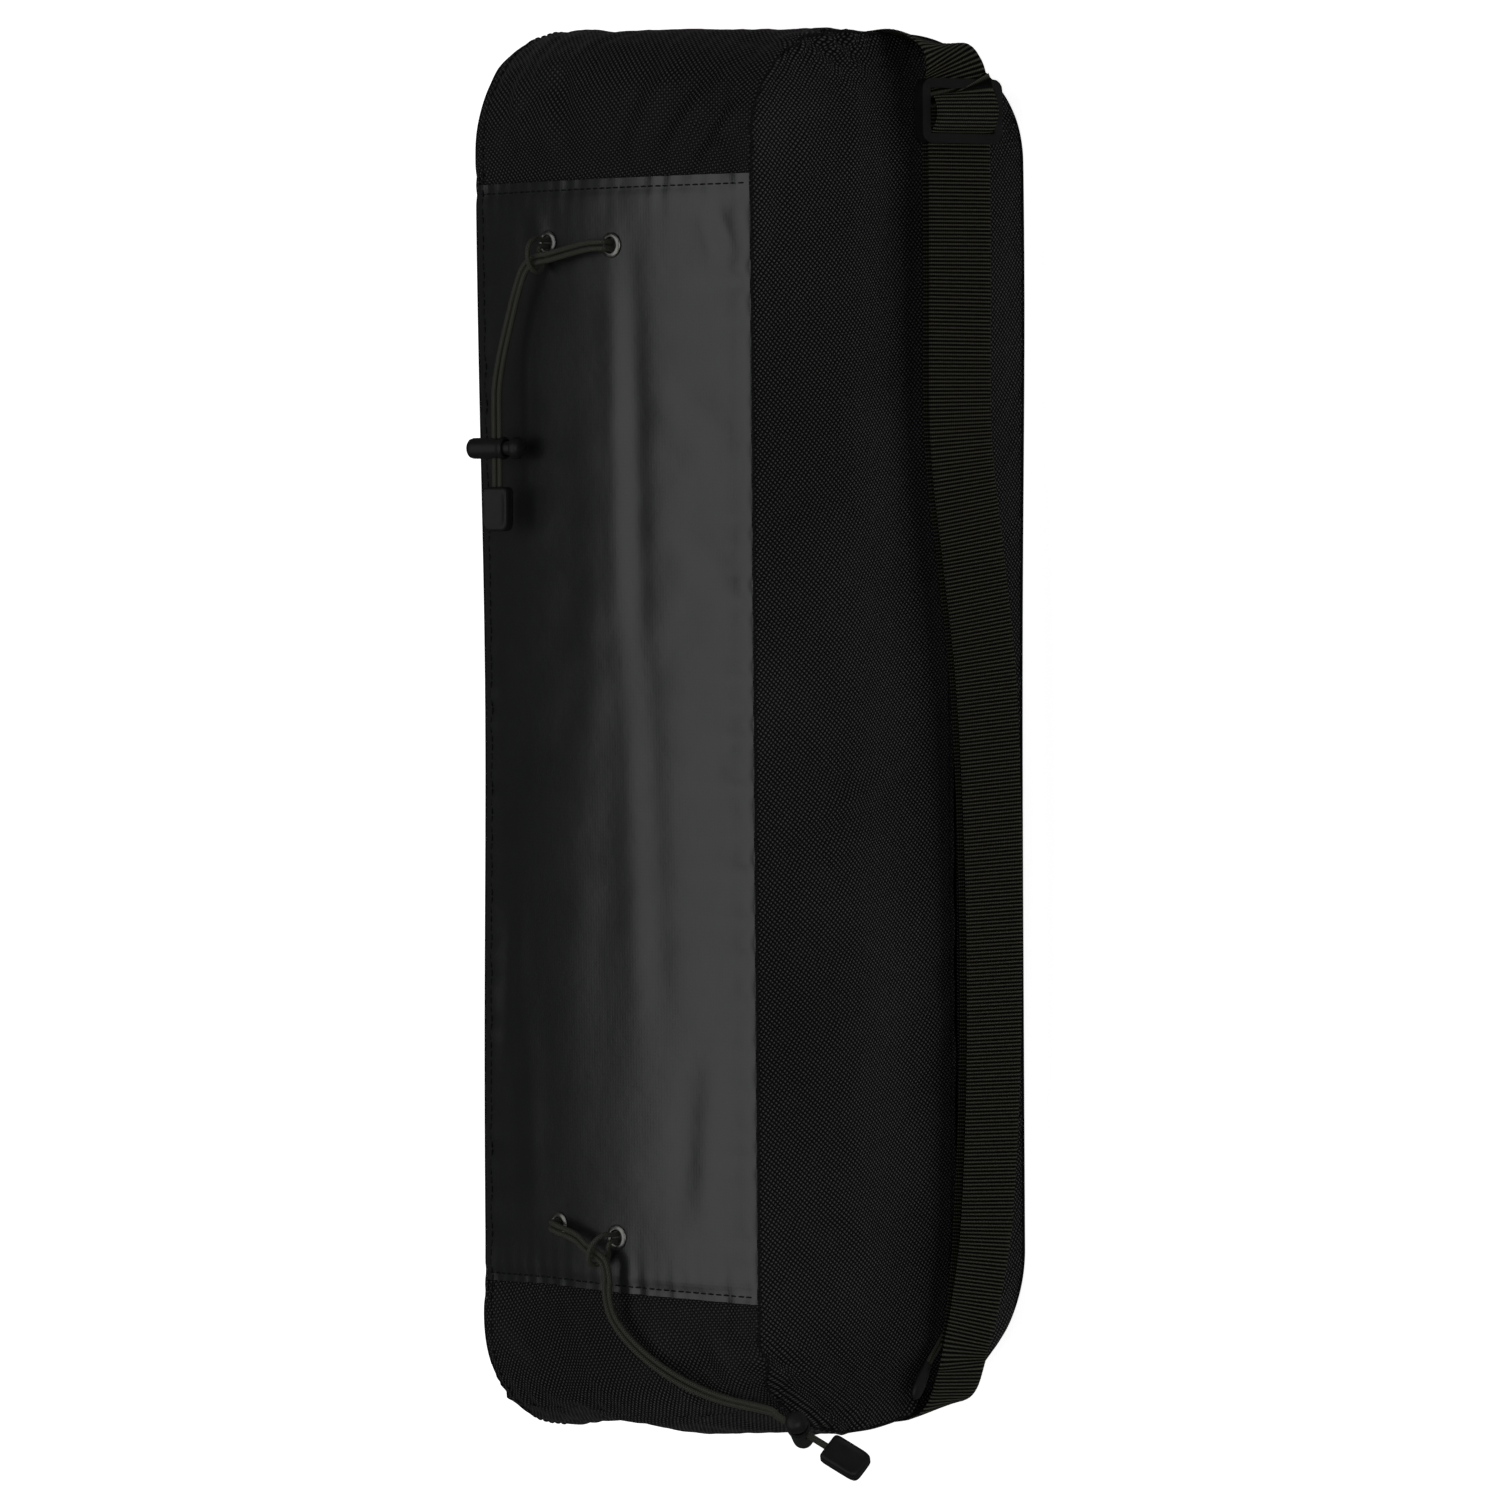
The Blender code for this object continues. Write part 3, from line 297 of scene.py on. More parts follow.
def moulded_acetal():
    """Acetal, injection moulded in a finely sparked tool: satin black, softly lit edges."""
    colour = colours().plastic
    made, tree, shader = new_material("acetal_moulded_satin", colour, 0.4, specular_ior_level=0.16)
    place = add_node(tree, "TexCoord", out="Object")
    grit = add_node(tree, "TexNoise", {"Scale": 1600.0, "Detail": 2.0}, {"Vector": place})
    wear = add_node(tree, "TexNoise", {"Scale": 160.0, "Detail": 3.0}, {"Vector": place})
    add_node(tree, "Bump", {"Distance": 0.03 * MM, "Strength": 0.7}, {"Height": grit}, to=shader["Normal"])
    add_node(tree, "MapRange", {"To Min": 0.32, "To Max": 0.52}, {"Value": wear}, to=shader["Roughness"])
    add_node(tree, "ValToRGB", {"stops": ((0, shade(colour, 0.85)), (1, shade(colour, 1.2)))}, {"Fac": wear},
             to=shader["Base Color"])
    return made


def blackened_brass():
    """Brass, pressed and blackened: smooth dark metal with slightly worn rims."""
    made, tree, shader = new_material("brass_pressed_blackened", linear("#2b2c2b"), 0.3, metallic=1.0)
    place = add_node(tree, "TexCoord", out="Object")
    wear = add_node(tree, "TexNoise", {"Scale": 420.0, "Detail": 4.0}, {"Vector": place})
    add_node(tree, "MapRange", {"To Min": 0.2, "To Max": 0.42}, {"Value": wear}, to=shader["Roughness"])
    add_node(tree, "ValToRGB", {"stops": ((0, linear("#4c4d4b")), (1, linear("#8a8a86")))}, {"Fac": wear},
             to=shader["Base Color"])
    add_node(tree, "Bump", {"Distance": 0.04 * MM, "Strength": 0.4}, {"Height": wear}, to=shader["Normal"])
    return made


def spring_wire():
    """Spring steel, drawn wire: bright and slightly streaked."""
    made, tree, shader = new_material("spring_steel_drawn", linear("#b9bbbd"), 0.28, metallic=1.0)
    place = add_node(tree, "TexCoord", out="Object")
    streak = add_node(tree, "TexNoise", {"Scale": 900.0, "Detail": 2.0}, {"Vector": place})
    add_node(tree, "MapRange", {"To Min": 0.2, "To Max": 0.38}, {"Value": streak}, to=shader["Roughness"])
    return made


def bonded_thread():
    """Bonded nylon thread, twisted: a slight gloss on each stitch."""
    made, tree, shader = new_material("nylon_thread_bonded", linear("#0e0e12"), 0.5, specular_ior_level=0.12)
    place = add_node(tree, "TexCoord", out="Object")
    ply = add_node(tree, "TexNoise", {"Scale": 2200.0, "Detail": 1.0}, {"Vector": place})
    add_node(tree, "Bump", {"Distance": 0.08 * MM, "Strength": 0.8}, {"Height": ply}, to=shader["Normal"])
    return made


def woven_tape():
    """Polyester tape, woven in a fine herringbone: matt and slightly grey."""
    made, tree, shader = new_material("polyester_tape_woven", linear("#141414"), 0.8, specular_ior_level=0.1)
    place = add_node(tree, "TexCoord", out="Object")
    rows, ribs = (add_node(tree, "TexWave", {"bands_direction": axis, "Scale": wave_scale(pitch)},
                           {"Vector": place}, "Fac") for axis, pitch in (("X", 0.9 * MM), ("DIAGONAL", 1.3 * MM)))
    lines = add_node(tree, "Math", {"operation": "MULTIPLY"}, {0: rows, 1: ribs})
    add_node(tree, "Bump", {"Distance": 0.2 * MM, "Strength": 0.8}, {"Height": lines}, to=shader["Normal"])
    add_node(tree, "ValToRGB", {"stops": ((0, linear("#0a0a0a")), (1, linear("#1e1e1e")))}, {"Fac": lines},
             to=shader["Base Color"])
    return made


def nylon_coil():
    """Nylon monofilament, coiled for a zip: smooth and slightly glossy."""
    made, tree, shader = new_material("nylon_monofilament_coil", linear("#161616"), 0.34, specular_ior_level=0.5)
    place = add_node(tree, "TexCoord", out="Object")
    grit = add_node(tree, "TexNoise", {"Scale": 1500.0}, {"Vector": place})
    add_node(tree, "Bump", {"Distance": 0.03 * MM, "Strength": 0.5}, {"Height": grit}, to=shader["Normal"])
    return made


def painted_floor():
    """Smooth painted board under the sack: matt and near white."""
    made, tree, shader = new_material("board_painted_matt", linear("#f2f2f2"), 0.9, specular_ior_level=0.1,
                                      emission_color=(1, 1, 1, 1), emission_strength=0.85)
    place = add_node(tree, "TexCoord", out="Object")
    grain = add_node(tree, "TexNoise", {"Scale": 60.0, "Detail": 2.0}, {"Vector": place})
    add_node(tree, "Bump", {"Distance": 0.02 * MM, "Strength": 0.2}, {"Height": grain}, to=shader["Normal"])
    return made


MAKERS = {"oxford": oxford_nylon, "coated": coated_nylon, "webbing": ribbed_webbing, "cord": braided_cord,
          "plastic": moulded_acetal, "brass": blackened_brass, "spring": spring_wire, "thread": bonded_thread,
          "tape": woven_tape, "coil": nylon_coil, "floor": painted_floor}
made_materials = {}


def finish_of(name):
    if name not in made_materials:
        made_materials[name] = MAKERS[name]()
    return made_materials[name]


# ---------------------------------------------------------------- mesh helpers

def mesh_piece(name, points, faces, finish, uvs=None, sharp=None):
    """A mesh object in the frame's own coordinates; uvs holds one pair for each point, in metres."""
    data = bpy.data.meshes.new(name)
    data.from_pydata([tuple(map(float, p)) for p in points], [], [tuple(map(int, f)) for f in faces])
    if uvs is not None:
        layer = data.uv_layers.new(name="UVMap")
        corner = np.empty(len(data.loops), np.int32)
        data.loops.foreach_get("vertex_index", corner)
        layer.data.foreach_set("uv", np.asarray(uvs, np.float32)[corner].ravel())
    data.update()
    data.shade_smooth()
    if sharp is not None:
        data.set_sharp_from_angle(angle=math.radians(sharp))
    data.materials.append(finish_of(finish))
    made = bpy.data.objects.new(name, data)
    bpy.context.scene.collection.objects.link(made)
    return made


def settle(piece, body, *nodes, slot=None):
    """Gives a piece its body and hides the frame nodes it stands for; the slot is not used."""
    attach(piece, body)
    if nodes:
        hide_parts(*nodes)
    return piece


def grid_normals(grid, wrap=False):
    """Unit normals of a grid of points; the grid's first axis may close on itself."""
    if wrap:
        padded = np.concatenate([grid[-2:-1], grid, grid[1:2]], axis=0)
        du = (padded[2:] - padded[:-2])
    else:
        du = np.gradient(grid, axis=0)
    dv = np.gradient(grid, axis=1)
    n = np.cross(du, dv)
    return n / np.maximum(np.linalg.norm(n, axis=2, keepdims=True), 1e-12)


def cubic_resample(grid, axis, factor, wrap):
    """The grid redrawn factor times finer along an axis with a Catmull-Rom curve."""
    g = np.moveaxis(grid, axis, 0)
    if wrap:
        padded = np.concatenate([g[-2:-1], g, g[1:2]], axis=0)
    else:
        padded = np.concatenate([2 * g[:1] - g[1:2], g, 2 * g[-1:] - g[-2:-1]], axis=0)
    rows = []
    for k in range(len(g) - 1):
        a, b, c, d = padded[k], padded[k + 1], padded[k + 2], padded[k + 3]
        for i in range(factor):
            t = i / factor
            rows.append(0.5 * (2 * b + (c - a) * t + (2 * a - 5 * b + 4 * c - d) * t ** 2
                               + (3 * b - a - 3 * c + d) * t ** 3))
    rows.append(g[-1])
    return np.moveaxis(np.array(rows), 0, axis)


def refine(grid, factor, wrap=False):
    return cubic_resample(cubic_resample(grid, 0, factor, wrap), 1, factor, False)


def cloth_patch(name, grid, normals, uv, keep, thick, lift, finish):
    """A closed piece of cloth from the kept cells of a grid, lifted along its normals."""
    rows, columns = grid.shape[:2]
    outer = grid + normals * lift
    inner = outer - normals * thick
    index = np.arange(rows * columns).reshape(rows, columns)
    a, b, c, d = index[:-1, :-1], index[1:, :-1], index[1:, 1:], index[:-1, 1:]
    quads = np.stack([a, b, c, d], axis=2)[keep]
    used = np.unique(quads)
    renumber = -np.ones(rows * columns, int)
    renumber[used] = np.arange(len(used))
    quads = renumber[quads]
    count = len(used)
    points = np.concatenate([outer.reshape(-1, 3)[used], inner.reshape(-1, 3)[used]])
    faces = [tuple(q) for q in quads] + [tuple(q[::-1] + count) for q in quads]
    edges = {}
    for q in quads:
        for k in range(4):
            e = (q[k], q[(k + 1) % 4])
            key = (min(e), max(e))
            edges[key] = None if key in edges else e
    for e in filter(None, edges.values()):
        faces.append((e[1], e[0], e[0] + count, e[1] + count))
    flat = uv.reshape(-1, 2)[used]
    return mesh_piece(name, points, faces, finish, np.concatenate([flat, flat]), sharp=50)


def sample(grid, u, v):
    """Points of a grid at fractional row u and column v."""
    u = np.clip(u, 0, grid.shape[0] - 1.001)
    v = np.clip(v, 0, grid.shape[1] - 1.001)
    i, j = u.astype(int), v.astype(int)
    fu, fv = (u - i)[:, None], (v - j)[:, None]
    return ((grid[i, j] * (1 - fu) + grid[i + 1, j] * fu) * (1 - fv)
            + (grid[i, j + 1] * (1 - fu) + grid[i + 1, j + 1] * fu) * fv)


def even_steps(points, normals, pitch):
    """Points, normals and directions at even steps along a line."""
    lengths = np.concatenate([[0], np.cumsum(np.linalg.norm(np.diff(points, axis=0), axis=1))])
    count = max(2, int(round(lengths[-1] / pitch)))
    at = np.linspace(0, lengths[-1], count + 1)
    place = np.stack([np.interp(at, lengths, points[:, k]) for k in range(3)], axis=1)
    normal = np.stack([np.interp(at, lengths, normals[:, k]) for k in range(3)], axis=1)
    run = np.gradient(place, axis=0)
    run /= np.linalg.norm(run, axis=1, keepdims=True)
    normal /= np.linalg.norm(normal, axis=1, keepdims=True)
    return place, normal, run


def stitch_row(name, lines, pitch, body, gauge=0.34 * MM):
    """Lockstitches along one or more lines of (points, normals): short bars that dip into the cloth at both ends."""
    points, faces = [], []
    sides = 6
    shape = ((-0.44, 0.25, -0.9), (-0.33, 0.8, 0.05), (-0.12, 1.0, 0.45), (0.12, 1.0, 0.45), (0.33, 0.8, 0.05),
             (0.44, 0.25, -0.9))
    for line, normals in lines:
        place, normal, run = even_steps(line, normals, pitch)
        middle = (place[1:] + place[:-1]) / 2
        for p, n, r in zip(middle, normal[1:], run[1:]):
            side = np.cross(n, r)
            start = len(points)
            for along, size, height in shape:
                for k in range(sides):
                    a = math.tau * k / sides
                    points.append(p + r * along * pitch + (side * math.cos(a) + n * math.sin(a)) * gauge * size
                                  + n * gauge * height)
            for ring in range(len(shape) - 1):
                for k in range(sides):
                    n2 = (k + 1) % sides
                    i = start + ring * sides
                    faces.append((i + k, i + n2, i + sides + n2, i + sides + k))
            faces.append(tuple(start + k for k in reversed(range(sides))))
            faces.append(tuple(start + (len(shape) - 1) * sides + k for k in range(sides)))
    return settle(mesh_piece(name, points, faces, "thread"), body)


def tube(name, path, radius, finish, sides=14, closed=False):
    """A round tube along a path; its UV runs along it and round it in metres."""
    path = np.asarray(path, float)
    count = len(path)
    run = np.roll(path, -1, 0) - np.roll(path, 1, 0) if closed else np.gradient(path, axis=0)
    run /= np.linalg.norm(run, axis=1, keepdims=True)
    side = np.cross(run[0], (0.3, 0.2, 1.0))
    frames = []
    for r in run:
        side = side - r * (side @ r)
        side /= np.linalg.norm(side)
        frames.append((side, np.cross(r, side)))
    radii = np.broadcast_to(np.asarray(radius, float), (count,))
    lengths = np.concatenate([[0], np.cumsum(np.linalg.norm(np.diff(path, axis=0), axis=1))])
    points, uvs, faces = [], [], []
    for p, (a, b), r, s in zip(path, frames, radii, lengths):
        for k in range(sides):
            angle = math.tau * k / sides
            points.append(p + (a * math.cos(angle) + b * math.sin(angle)) * r)
            uvs.append((s, min(k, sides - k) / sides * math.tau * r))
    last = count if closed else count - 1
    for i in range(last):
        j = (i + 1) % count
        for k in range(sides):
            n = (k + 1) % sides
            faces.append((i * sides + k, j * sides + k, j * sides + n, i * sides + n))
    if not closed:
        faces.append(tuple(range(sides)))
        faces.append(tuple((count - 1) * sides + k for k in reversed(range(sides))))
    return mesh_piece(name, points, faces, finish, uvs)


def waves(seed, low, high, count=14):
    """A repeatable uneven wave along a line, with periods between low and high metres; returns a function."""
    rng = np.random.RandomState(seed)
    periods = rng.uniform(low, high, count)
    phases = rng.uniform(0, math.tau, count)
    return lambda s: sum(np.sin(math.tau * s / p + f) for p, f in zip(periods, phases)) / math.sqrt(count)


# ---------------------------------------------------------------- the shell of the sack

def arc(axes, x_sign, z_sign, start, end, count=40):
    x = x_sign * (HALF_LENGTH - axes[0])
    z = FRONT_SEAM - axes[1] if z_sign > 0 else axes[1]
    angles = np.radians(np.linspace(start, end, count))
    return np.stack([x + axes[0] * np.cos(angles), z + axes[1] * np.sin(angles)], axis=1)


def outline_ring():
    """Points (x, z) round the side outline, from the middle of its lower front corner, closed on itself."""
    runs = [
        (arc(FRONT_BOTTOM, -1, 1, 135, 90), arc(FRONT_TOP, 1, 1, 90, 45), LONG),
        (arc(FRONT_TOP, 1, 1, 45, 0), arc(BACK_TOP, 1, -1, 0, -45), SHORT),
        (arc(BACK_TOP, 1, -1, -45, -90), arc(BACK_BOTTOM, -1, -1, -90, -135), LONG),
        (arc(BACK_BOTTOM, -1, -1, -135, -180), arc(FRONT_BOTTOM, -1, 1, 180, 135), SHORT),
    ]
    ring = []
    for first, second, cells in runs:
        line = np.concatenate([first, second])
        lengths = np.concatenate([[0], np.cumsum(np.linalg.norm(np.diff(line, axis=0), axis=1))])
        at = np.linspace(0, lengths[-1], cells + 1)[:-1]
        ring.append(np.stack([np.interp(at, lengths, line[:, k]) for k in (0, 1)], axis=1))
    ring = np.concatenate(ring)
    return np.concatenate([ring, ring[:1]])


def smooth_step(t):
    t = np.clip(t, 0, 1)
    return t * t * (3 - 2 * t)


def gusset_grid(ring):
    """The strip round the sack, before it is filled: rows round the outline, columns from -Y to +Y."""
    tangent = np.gradient(ring, axis=0)
    tangent[0] = tangent[-1] = ring[1] - ring[-2]
    tangent /= np.linalg.norm(tangent, axis=1, keepdims=True)
    normal = np.stack([-tangent[:, 1], tangent[:, 0]], axis=1)
    front = smooth_step((ring[:, 1] - 0.10) / 0.06)
    back = smooth_step((0.10 - ring[:, 1]) / 0.06)
    crown = 1.8 * MM * (1 - back) * (1 - front) + fabric().front_crown * front
    y = np.linspace(-HALF_WIDTH, HALF_WIDTH, ACROSS + 1)
    across = 1 - np.abs(y / HALF_WIDTH) ** 2.05
    bulge = crown[:, None] * across[None, :]
    grid = np.zeros((len(ring), ACROSS + 1, 3))
    grid[..., 0] = ring[:, 0, None] + normal[:, 0, None] * bulge
    grid[..., 1] = y[None, :]
    grid[..., 2] = ring[:, 1, None] + normal[:, 1, None] * bulge
    return grid


def side_flat(ring):
    """A side panel's flat grid (x, z): a Coons patch inside the outline."""
    front = ring[:LONG + 1]
    top = ring[LONG:LONG + SHORT + 1][::-1]
    back = ring[LONG + SHORT:2 * LONG + SHORT + 1][::-1]
    bottom = ring[2 * LONG + SHORT:]
    u = np.linspace(0, 1, LONG + 1)[:, None, None]
    v = np.linspace(0, 1, SHORT + 1)[None, :, None]
    ruled = (1 - v) * back[:, None] + v * front[:, None] + (1 - u) * bottom[None] + u * top[None]
    corners = ((1 - u) * (1 - v) * back[0] + u * (1 - v) * back[-1] + (1 - u) * v * front[0] + u * v * front[-1])
    return ruled - corners


def side_grid(flat, sign):
    """A side panel's grid: fullest above the middle, drawn in towards the zip on the strap's side."""
    x, z = flat[..., 0], flat[..., 1]
    share = np.clip(z / FRONT_SEAM, 0, 1)
    along = np.clip((HALF_LENGTH - np.abs(x)) / 0.06, 0, 1)
    bulge = fabric().side_crown * np.sin(math.pi * share ** 1.25) ** 0.8 * along * (2 - along)
    return np.stack([x, sign * (HALF_WIDTH + bulge), z], axis=2)


def ring_index(i, j):
    """Place on the ring of a side grid's border point, or None inside it."""
    if j == SHORT:
        return i
    if i == LONG:
        return LONG + SHORT - j
    if j == 0:
        return 2 * LONG + SHORT - i
    if i == 0:
        return (2 * LONG + SHORT + j) % RING
    return None


def shell_mesh(gusset, sides):
    """One closed shell of the strip and both sides; returns its points, faces and each grid's point numbers."""
    points = list(gusset[:-1].reshape(-1, 3))
    columns = ACROSS + 1
    strip = np.arange(RING * columns).reshape(RING, columns)
    strip = np.concatenate([strip, strip[:1]])
    faces = []
    for k in range(RING):
        for j in range(ACROSS):
            faces.append((strip[k, j], strip[k, j + 1], strip[k + 1, j + 1], strip[k + 1, j]))
    numbers = [strip]
    for sign, grid in zip((-1, 1), sides):
        column = 0 if sign < 0 else ACROSS
        ids = np.zeros((LONG + 1, SHORT + 1), int)
        for i in range(LONG + 1):
            for j in range(SHORT + 1):
                k = ring_index(i, j)
                if k is None:
                    ids[i, j] = len(points)
                    points.append(grid[i, j])
                else:
                    ids[i, j] = strip[k, column]
        for i in range(LONG):
            for j in range(SHORT):
                quad = (ids[i, j], ids[i + 1, j], ids[i + 1, j + 1], ids[i, j + 1])
                faces.append(quad if sign < 0 else quad[::-1])
        numbers.append(ids)
    return np.array(points), faces, numbers


def fill_shell(points, faces, numbers):
    """Cloth simulation of the sewn shell round its filling; seams and the flat back are held, the rest fills out."""
    data = bpy.data.meshes.new("shell_rest")
    data.from_pydata([tuple(p) for p in points], [], [tuple(map(int, f)) for f in faces])
    data.update()
    body = bpy.data.objects.new("shell_rest", data)
    bpy.context.scene.collection.objects.link(body)
    seam = np.unique(np.concatenate([numbers[0][:, 0], numbers[0][:, -1]]))
    held = body.vertex_groups.new(name="held")
    held.add([int(i) for i in seam], 1.0, "REPLACE")
    flat = np.where(points[:, 2] < 2 * MM)[0]
    held.add([int(i) for i in flat], 1.0, "REPLACE")
    cloth = body.modifiers.new("filling", "CLOTH")
    settings = cloth.settings
    settings.quality = 5
    settings.mass = 0.25
    settings.tension_stiffness = 30
    settings.compression_stiffness = 12
    settings.shear_stiffness = 8
    settings.bending_stiffness = 0.35
    settings.air_damping = 4
    settings.vertex_group_mass = "held"
    settings.pin_stiffness = 1.0
    settings.shrink_min = -0.010
    settings.use_pressure = True
    settings.uniform_pressure_force = fabric().pressure
    settings.effector_weights.gravity = 0
    cloth.collision_settings.use_collision = False
    scene = bpy.context.scene
    for number in range(1, FILL_FRAMES + 1):
        scene.frame_set(number)
    evaluated = body.evaluated_get(bpy.context.evaluated_depsgraph_get())
    result = np.empty(len(points) * 3, np.float32)
    evaluated.data.vertices.foreach_get("co", result)
    result = result.reshape(-1, 3).astype(float)
    scene.frame_set(1)
    bpy.data.objects.remove(body, do_unlink=True)
    move = result - points
    size = np.linalg.norm(move, axis=1, keepdims=True)
    return points + move * np.minimum(1, FILL_CAP / np.maximum(size, 1e-9))


def settled(points):
    """How the filling has settled: smooth moves of the whole shell away from its even shape."""
    x, y, z = points.T
    near = smooth_step((0.016 - y) / 0.088)
    upper = smooth_step((x - 0.255) / 0.035)
    lower = smooth_step((-0.255 - x) / 0.035)
    far_corner = smooth_step((-0.215 - x) / 0.05) * smooth_step((z - 0.085) / 0.06) * smooth_step((y - 0.03) / 0.05)
    far_top = smooth_step((x - 0.255) / 0.035) * smooth_step((y - 0.01) / 0.05)
    far_seam = smooth_step((y - 0.04) / 0.04) * smooth_step((z - 0.10) / 0.05)
    along = near * (5 * MM * lower - 3 * MM * upper) - 7 * MM * far_corner + 2.5 * MM * far_top
    low_side = smooth_step((-y - 0.06) / 0.015) * smooth_step((0.05 - z) / 0.04)
    sideways = -3 * MM * far_seam * np.exp(-((x - 0.02) / 0.13) ** 2) - 2.6 * MM * low_side * np.exp(
        -((x - 0.20) / 0.13) ** 2)
    return np.stack([along, sideways, 2 * MM * far_corner], axis=1)


def seam_share(points):
    """How freely each point of the shell may fill out: not on the seams, little on the taut front and by the zip."""
    x, y, z = points.T
    across = np.clip((HALF_WIDTH - np.abs(y)) / (30 * MM), 0, 1)
    edge = np.minimum(np.minimum(z, FRONT_SEAM - z), HALF_LENGTH - np.abs(x))
    inside = np.clip(edge / (30 * MM), 0, 1)
    free = np.maximum(across, inside)
    taut_front = smooth_step((z - 0.160) / 0.01) * smooth_step((0.245 - np.abs(x)) / 0.02)
    by_zip = smooth_step((-y - 0.06) / 0.015) * smooth_step((0.125 - z) / 0.03)
    return (free * (2 - free) * (0.7 - 0.5 * taut_front) * (1 - 0.95 * by_zip))[:, None]


def seam_wobble(points):
    """The side seams waver where the cloth is gathered into the front corners."""
    x, y, z = points.T
    near_seam = np.exp(-((np.abs(y) - HALF_WIDTH) / (5 * MM)) ** 2)
    corner = smooth_step((np.abs(x) - 0.236) / 0.02) * smooth_step((z - 0.09) / 0.03)
    wave = waves(17, 13 * MM, 24 * MM, 5)
    lean = -near_seam * (y < 0) * corner * wave(x * 1.2 - z * 0.9)
    return np.stack([0 * lean, 1.3 * MM * lean, 1.0 * MM * lean], axis=1)


def ridge(x, v, start, end, width, height):
    """A soft fold along the line from start to end in a panel's own coordinates, fading at both ends."""
    a, b = np.array(start), np.array(end)
    run = b - a
    length = np.linalg.norm(run)
    t = ((x - a[0]) * run[0] + (v - a[1]) * run[1]) / length ** 2
    away = ((x - a[0]) * -run[1] + (v - a[1]) * run[0]) / length
    fade = np.clip(np.minimum(t, 1 - t) * 3.0, 0, 1)
    profile = np.exp(-(away / width) ** 2) - 0.55 * np.exp(-((away + width * 1.3) / width) ** 2)
    return height * profile * smooth_step(fade)


# Soft folds of the front face: start (x, y), end (x, y), half-width and height
FRONT_FOLDS = (
    ((0.232, -0.018), (0.010, -0.022), 0.0075, -0.8 * MM),
    ((0.070, -0.024), (-0.150, -0.033), 0.0085, -0.5 * MM),
    ((0.180, 0.004), (-0.060, 0.002), 0.0120, 0.4 * MM),
    ((0.060, -0.006), (-0.190, 0.004), 0.0130, -0.35 * MM),
    ((0.226, 0.040), (0.190, 0.030), 0.0060, 0.8 * MM),
    ((0.225, -0.060), (0.196, -0.072), 0.0050, -0.7 * MM),
    ((0.150, -0.036), (0.120, -0.074), 0.0080, -0.5 * MM),
    ((0.090, -0.040), (0.060, -0.076), 0.0080, -0.5 * MM),
    ((-0.120, -0.060), (-0.215, -0.052), 0.0080, 0.6 * MM),
    ((-0.090, 0.050), (-0.225, 0.044), 0.0080, 0.6 * MM),
    ((-0.150, 0.066), (-0.060, 0.060), 0.0060, -0.7 * MM),
    ((0.282, -0.066), (0.236, -0.030), 0.0050, 2.2 * MM),
    ((0.268, -0.080), (0.232, -0.048), 0.0042, 1.9 * MM),
    ((0.288, -0.038), (0.236, -0.012), 0.0055, 2.0 * MM),
    ((0.292, 0.036), (0.236, 0.016), 0.0075, -2.2 * MM),
    ((0.280, 0.062), (0.240, 0.046), 0.0045, 0.8 * MM),
    ((-0.236, 0.030), (-0.282, 0.010), 0.0055, 0.9 * MM),
    ((-0.240, -0.016), (-0.284, -0.042), 0.0055, 1.6 * MM),
    ((-0.242, -0.048), (-0.282, -0.074), 0.0050, 1.5 * MM),
    ((-0.262, 0.060), (-0.292, 0.040), 0.0050, -0.8 * MM),
)

# Soft folds of the strap's side: start (x, z), end (x, z), half-width and height
SIDE_FOLDS = (
    ((-0.044, 0.168), (-0.006, 0.066), 0.0050, 1.7 * MM),
    ((-0.052, 0.150), (-0.042, 0.094), 0.0060, 0.9 * MM),
    ((0.250, 0.160), (0.196, 0.168), 0.0050, 0.9 * MM),
    ((0.262, 0.140), (0.200, 0.150), 0.0060, 1.2 * MM),
    ((0.284, 0.112), (0.224, 0.116), 0.0060, 1.2 * MM),
    ((0.276, 0.096), (0.200, 0.086), 0.0070, -1.0 * MM),
    ((-0.180, 0.140), (-0.246, 0.082), 0.0080, 0.9 * MM),
    ((-0.262, 0.166), (-0.268, 0.130), 0.0032, 1.9 * MM),
    ((-0.262, 0.152), (-0.292, 0.118), 0.0036, 1.6 * MM),
    ((-0.236, 0.150), (-0.278, 0.112), 0.0050, -1.1 * MM),
    ((-0.272, 0.110), (-0.250, 0.060), 0.0060, 1.2 * MM),
)


